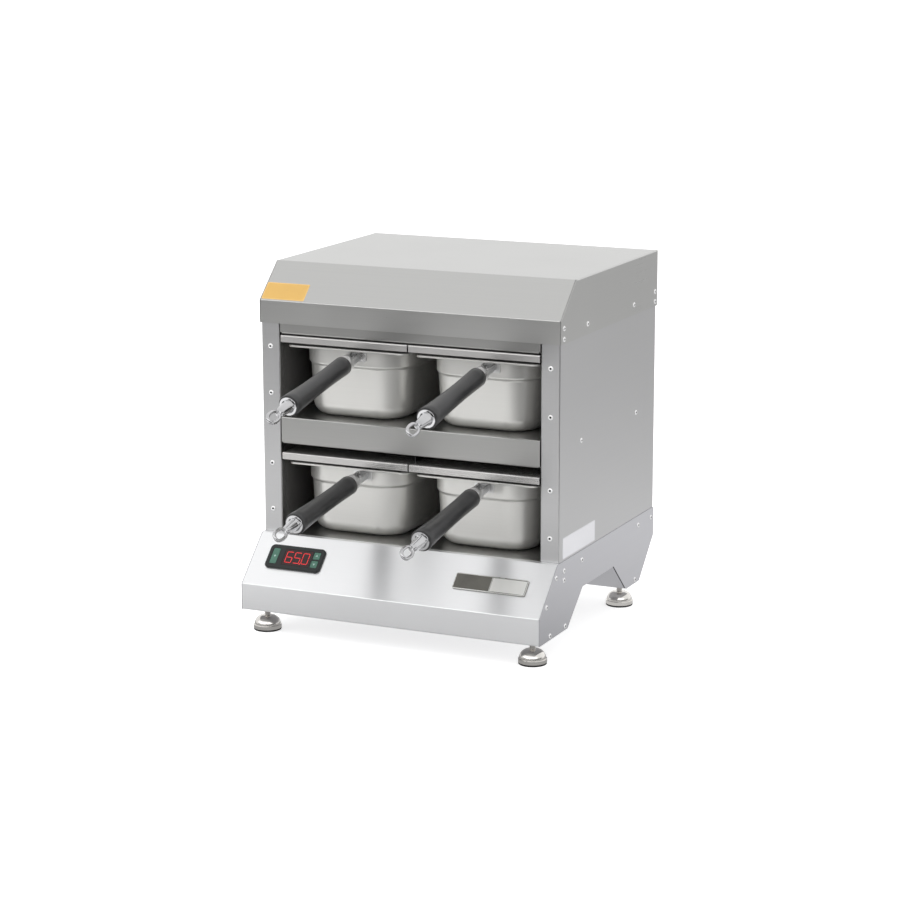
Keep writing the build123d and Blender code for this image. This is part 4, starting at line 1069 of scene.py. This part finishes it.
studio = {
    "floorSize": 60.0,
    "floorColor": (0.80, 0.80, 0.80),
    "floorGlow": 0.66,                      # lifts the floor to white for the camera
    # what metal mirrors of the floor, by distance: share of the reach, brightness
    "glossInFront": [(0.0, 0.28), (0.115, 0.36), (0.18, 0.52), (0.26, 1.22), (0.42, 1.08),
                     (0.52, 0.56), (0.60, 0.30), (0.70, 0.12), (1.0, 0.08)],
    "glossBehind": [(0.0, 0.58), (0.14, 0.60), (0.26, 0.70), (0.42, 0.62), (0.62, 0.52),
                    (1.0, 0.45)],
    "glossPeak": 1.15,
    "floorReach": 2.6,                      # metres to the end of both curves
    "asideSkew": 0.477,                     # the dark side starts along a slanting line
    "aside": (0.62, 0.95),
    "asideBehind": (-0.35, -0.15),          # and ends beside the cabinet
    "floorTurn": (-0.1, 0.25),              # from the front curve to the one behind
    # what metal mirrors of the room
    "roomAbove": 0.93,
    "roomBehind": 0.13,
    "roomInFront": 1.1,
    "roomLow": -0.65,                       # taken off near the floor's far edge in front
    "frontAhead": (-0.25, -0.50),           # where the brighter front begins along Y
    "frontRise": (0.10, 0.28),              # and where it rises and ends, by height
    "frontFall": (0.45, 0.65),
    "backRise": (0.2, 0.85),
    "rightDark": 0.08,                      # share left to the front right, for contrast
    "darkAside": (0.05, 0.35),
    "darkHigh": (0.10, 0.28),
    "darkBehind": (0.1, 0.4),
    "roomFill": 0.80,                       # plain light on matt pieces
    "lamps": {
        "overhead": {"place": (-0.5, -0.6, 2.6), "size": 2.6, "power": 42},
        "frontLeft": {"place": (-2.4, -2.2, 1.5), "size": 1.6, "power": 16},
        "right": {"place": (2.6, -0.6, 1.4), "size": 1.4, "power": 8},
    },
    "lampAim": (0, 0, 0.2),
}


def rightShade(tree, parts):
    # 1 all round, falling to a dark studio low down to the front right
    toward = ramp(tree, parts.outputs["X"], *studio["darkAside"], 1.0, studio["rightDark"])
    high = ramp(tree, parts.outputs["Z"], *studio["darkHigh"], 0.0, 1.0)
    behind = ramp(tree, parts.outputs["Y"], *studio["darkBehind"], 0.0, 1.0)
    return mathNode(tree, "MAXIMUM", mathNode(tree, "MAXIMUM", toward, high), behind)


def glossCurve(tree, reach, stopList):
    # brightness along the floor, smooth between its stops
    curve = addNode(tree, "ShaderNodeValToRGB")
    curve.color_ramp.interpolation = "EASE"
    stops = curve.color_ramp.elements
    while len(stops) < len(stopList):
        stops.new(0.5)
    for stop, (where, value) in zip(stops, stopList):
        stop.position = where
        stop.color = (value, value, value, 1)
    feed(tree, reach, curve.inputs["Fac"])
    return curve.outputs["Color"]


def floorGloss(tree):
    # bright at arm's length and darker further off, one curve in front and one behind
    place = addNode(tree, "ShaderNodeTexCoord").outputs["Object"]
    far = addNode(tree, "ShaderNodeVectorMath", operation="LENGTH")
    feed(tree, place, far.inputs[0])
    reach = mathNode(tree, "DIVIDE", far.outputs["Value"], studio["floorReach"])
    axes = addNode(tree, "ShaderNodeSeparateXYZ")
    feed(tree, place, axes.inputs[0])
    x, y = axes.outputs["X"], axes.outputs["Y"]
    side = addNode(tree, "ShaderNodeMix", data_type="RGBA")
    feed(tree, ramp(tree, y, *studio["floorTurn"], 0.0, 1.0), side.inputs["Factor"])
    feed(tree, glossCurve(tree, reach, studio["glossInFront"]), side.inputs["A"])
    feed(tree, glossCurve(tree, reach, studio["glossBehind"]), side.inputs["B"])
    gloss = mathNode(tree, "MULTIPLY", side.outputs["Result"], studio["glossPeak"])
    aside = mathNode(tree, "SUBTRACT", x, mathNode(tree, "MULTIPLY", y, studio["asideSkew"]))
    toward = ramp(tree, aside, *studio["aside"], 1.0, studio["rightDark"])
    behind = ramp(tree, y, *studio["asideBehind"], 0.0, 1.0)
    return mathNode(tree, "MULTIPLY", gloss, mathNode(tree, "MAXIMUM", toward, behind))


def makeFloor():
    # plain pale floor, white to the camera, with its own brightness in metal
    startPiece()
    bpy.ops.mesh.primitive_plane_add(size=studio["floorSize"], location=(0, 0, 0))
    floor = bpy.context.object
    floor.name = "studioFloor"
    mat, tree, shader = newMaterial("paleFloor")
    shader.inputs["Base Color"].default_value = (*studio["floorColor"], 1)
    shader.inputs["Roughness"].default_value = 0.9
    shader.inputs["Specular IOR Level"].default_value = 0.0
    shader.inputs["Emission Color"].default_value = (1, 1, 1, 1)
    path = addNode(tree, "ShaderNodeLightPath")
    seen = mathNode(tree, "MULTIPLY", path.outputs["Is Camera Ray"], studio["floorGlow"])
    feed(tree, seen, shader.inputs["Emission Strength"])
    glow = addNode(tree, "ShaderNodeEmission")
    feed(tree, floorGloss(tree), glow.inputs["Strength"])
    both = addNode(tree, "ShaderNodeMixShader")
    feed(tree, path.outputs["Is Glossy Ray"], both.inputs["Fac"])
    feed(tree, shader.outputs["BSDF"], both.inputs[1])
    feed(tree, glow.outputs["Emission"], both.inputs[2])
    out = [node for node in tree.nodes if node.type == "OUTPUT_MATERIAL"][0]
    feed(tree, both.outputs[0], out.inputs["Surface"])
    floor.data.materials.append(mat)


def makeWorld():
    # white for the camera, a soft white room for gloss, brightest low in front, plain fill else
    world = bpy.data.worlds.new("studioRoom")
    bpy.context.scene.world = world
    world.use_nodes = True
    tree = world.node_tree
    tree.nodes.clear()
    path = addNode(tree, "ShaderNodeLightPath")
    parts = addNode(tree, "ShaderNodeSeparateXYZ")
    feed(tree, addNode(tree, "ShaderNodeTexCoord").outputs["Generated"], parts.inputs[0])
    y, z = parts.outputs["Y"], parts.outputs["Z"]
    above, behind = studio["roomAbove"], studio["roomBehind"]
    ahead = ramp(tree, y, *studio["frontAhead"], 0.0, 1.0)
    band = ramp(tree, z, *studio["frontRise"], studio["roomLow"], studio["roomInFront"])
    front = mathNode(tree, "MULTIPLY", mathNode(tree, "MULTIPLY", ahead, band),
                     ramp(tree, z, *studio["frontFall"], 1.0, 0.0))
    back = ramp(tree, y, *studio["backRise"], above, above + behind)
    room = mathNode(tree, "MULTIPLY", mathNode(tree, "ADD", front, back), rightShade(tree, parts))
    strength = addNode(tree, "ShaderNodeMix", data_type="FLOAT")
    feed(tree, path.outputs["Is Glossy Ray"], strength.inputs["Factor"])
    strength.inputs["A"].default_value = studio["roomFill"]
    feed(tree, room, strength.inputs["B"])
    seen = addNode(tree, "ShaderNodeMix", data_type="FLOAT")
    feed(tree, path.outputs["Is Camera Ray"], seen.inputs["Factor"])
    feed(tree, strength.outputs["Result"], seen.inputs["A"])
    seen.inputs["B"].default_value = 1.0
    light = addNode(tree, "ShaderNodeBackground")
    light.inputs["Color"].default_value = (1, 1, 1, 1)
    feed(tree, seen.outputs["Result"], light.inputs["Strength"])
    out = addNode(tree, "ShaderNodeOutputWorld")
    feed(tree, light.outputs[0], out.inputs["Surface"])


def makeLamps():
    # soft boxes light the matt pieces, and the room above is what metal mirrors
    for name, lamp in studio["lamps"].items():
        data = bpy.data.lights.new(name, "AREA")
        data.shape = "SQUARE"
        data.size = lamp["size"]
        data.energy = lamp["power"]
        obj = bpy.data.objects.new(name, data)
        bpy.context.scene.collection.objects.link(obj)
        place = Vector(lamp["place"])
        aim = Vector(studio["lampAim"]) - place
        obj.location = place
        obj.rotation_euler = aim.to_track_quat("-Z", "Y").to_euler()
        obj.visible_glossy = False


makeFloor()
makeWorld()
makeLamps()
bpy.context.scene.view_settings.view_transform = "Standard"
print("studio set")
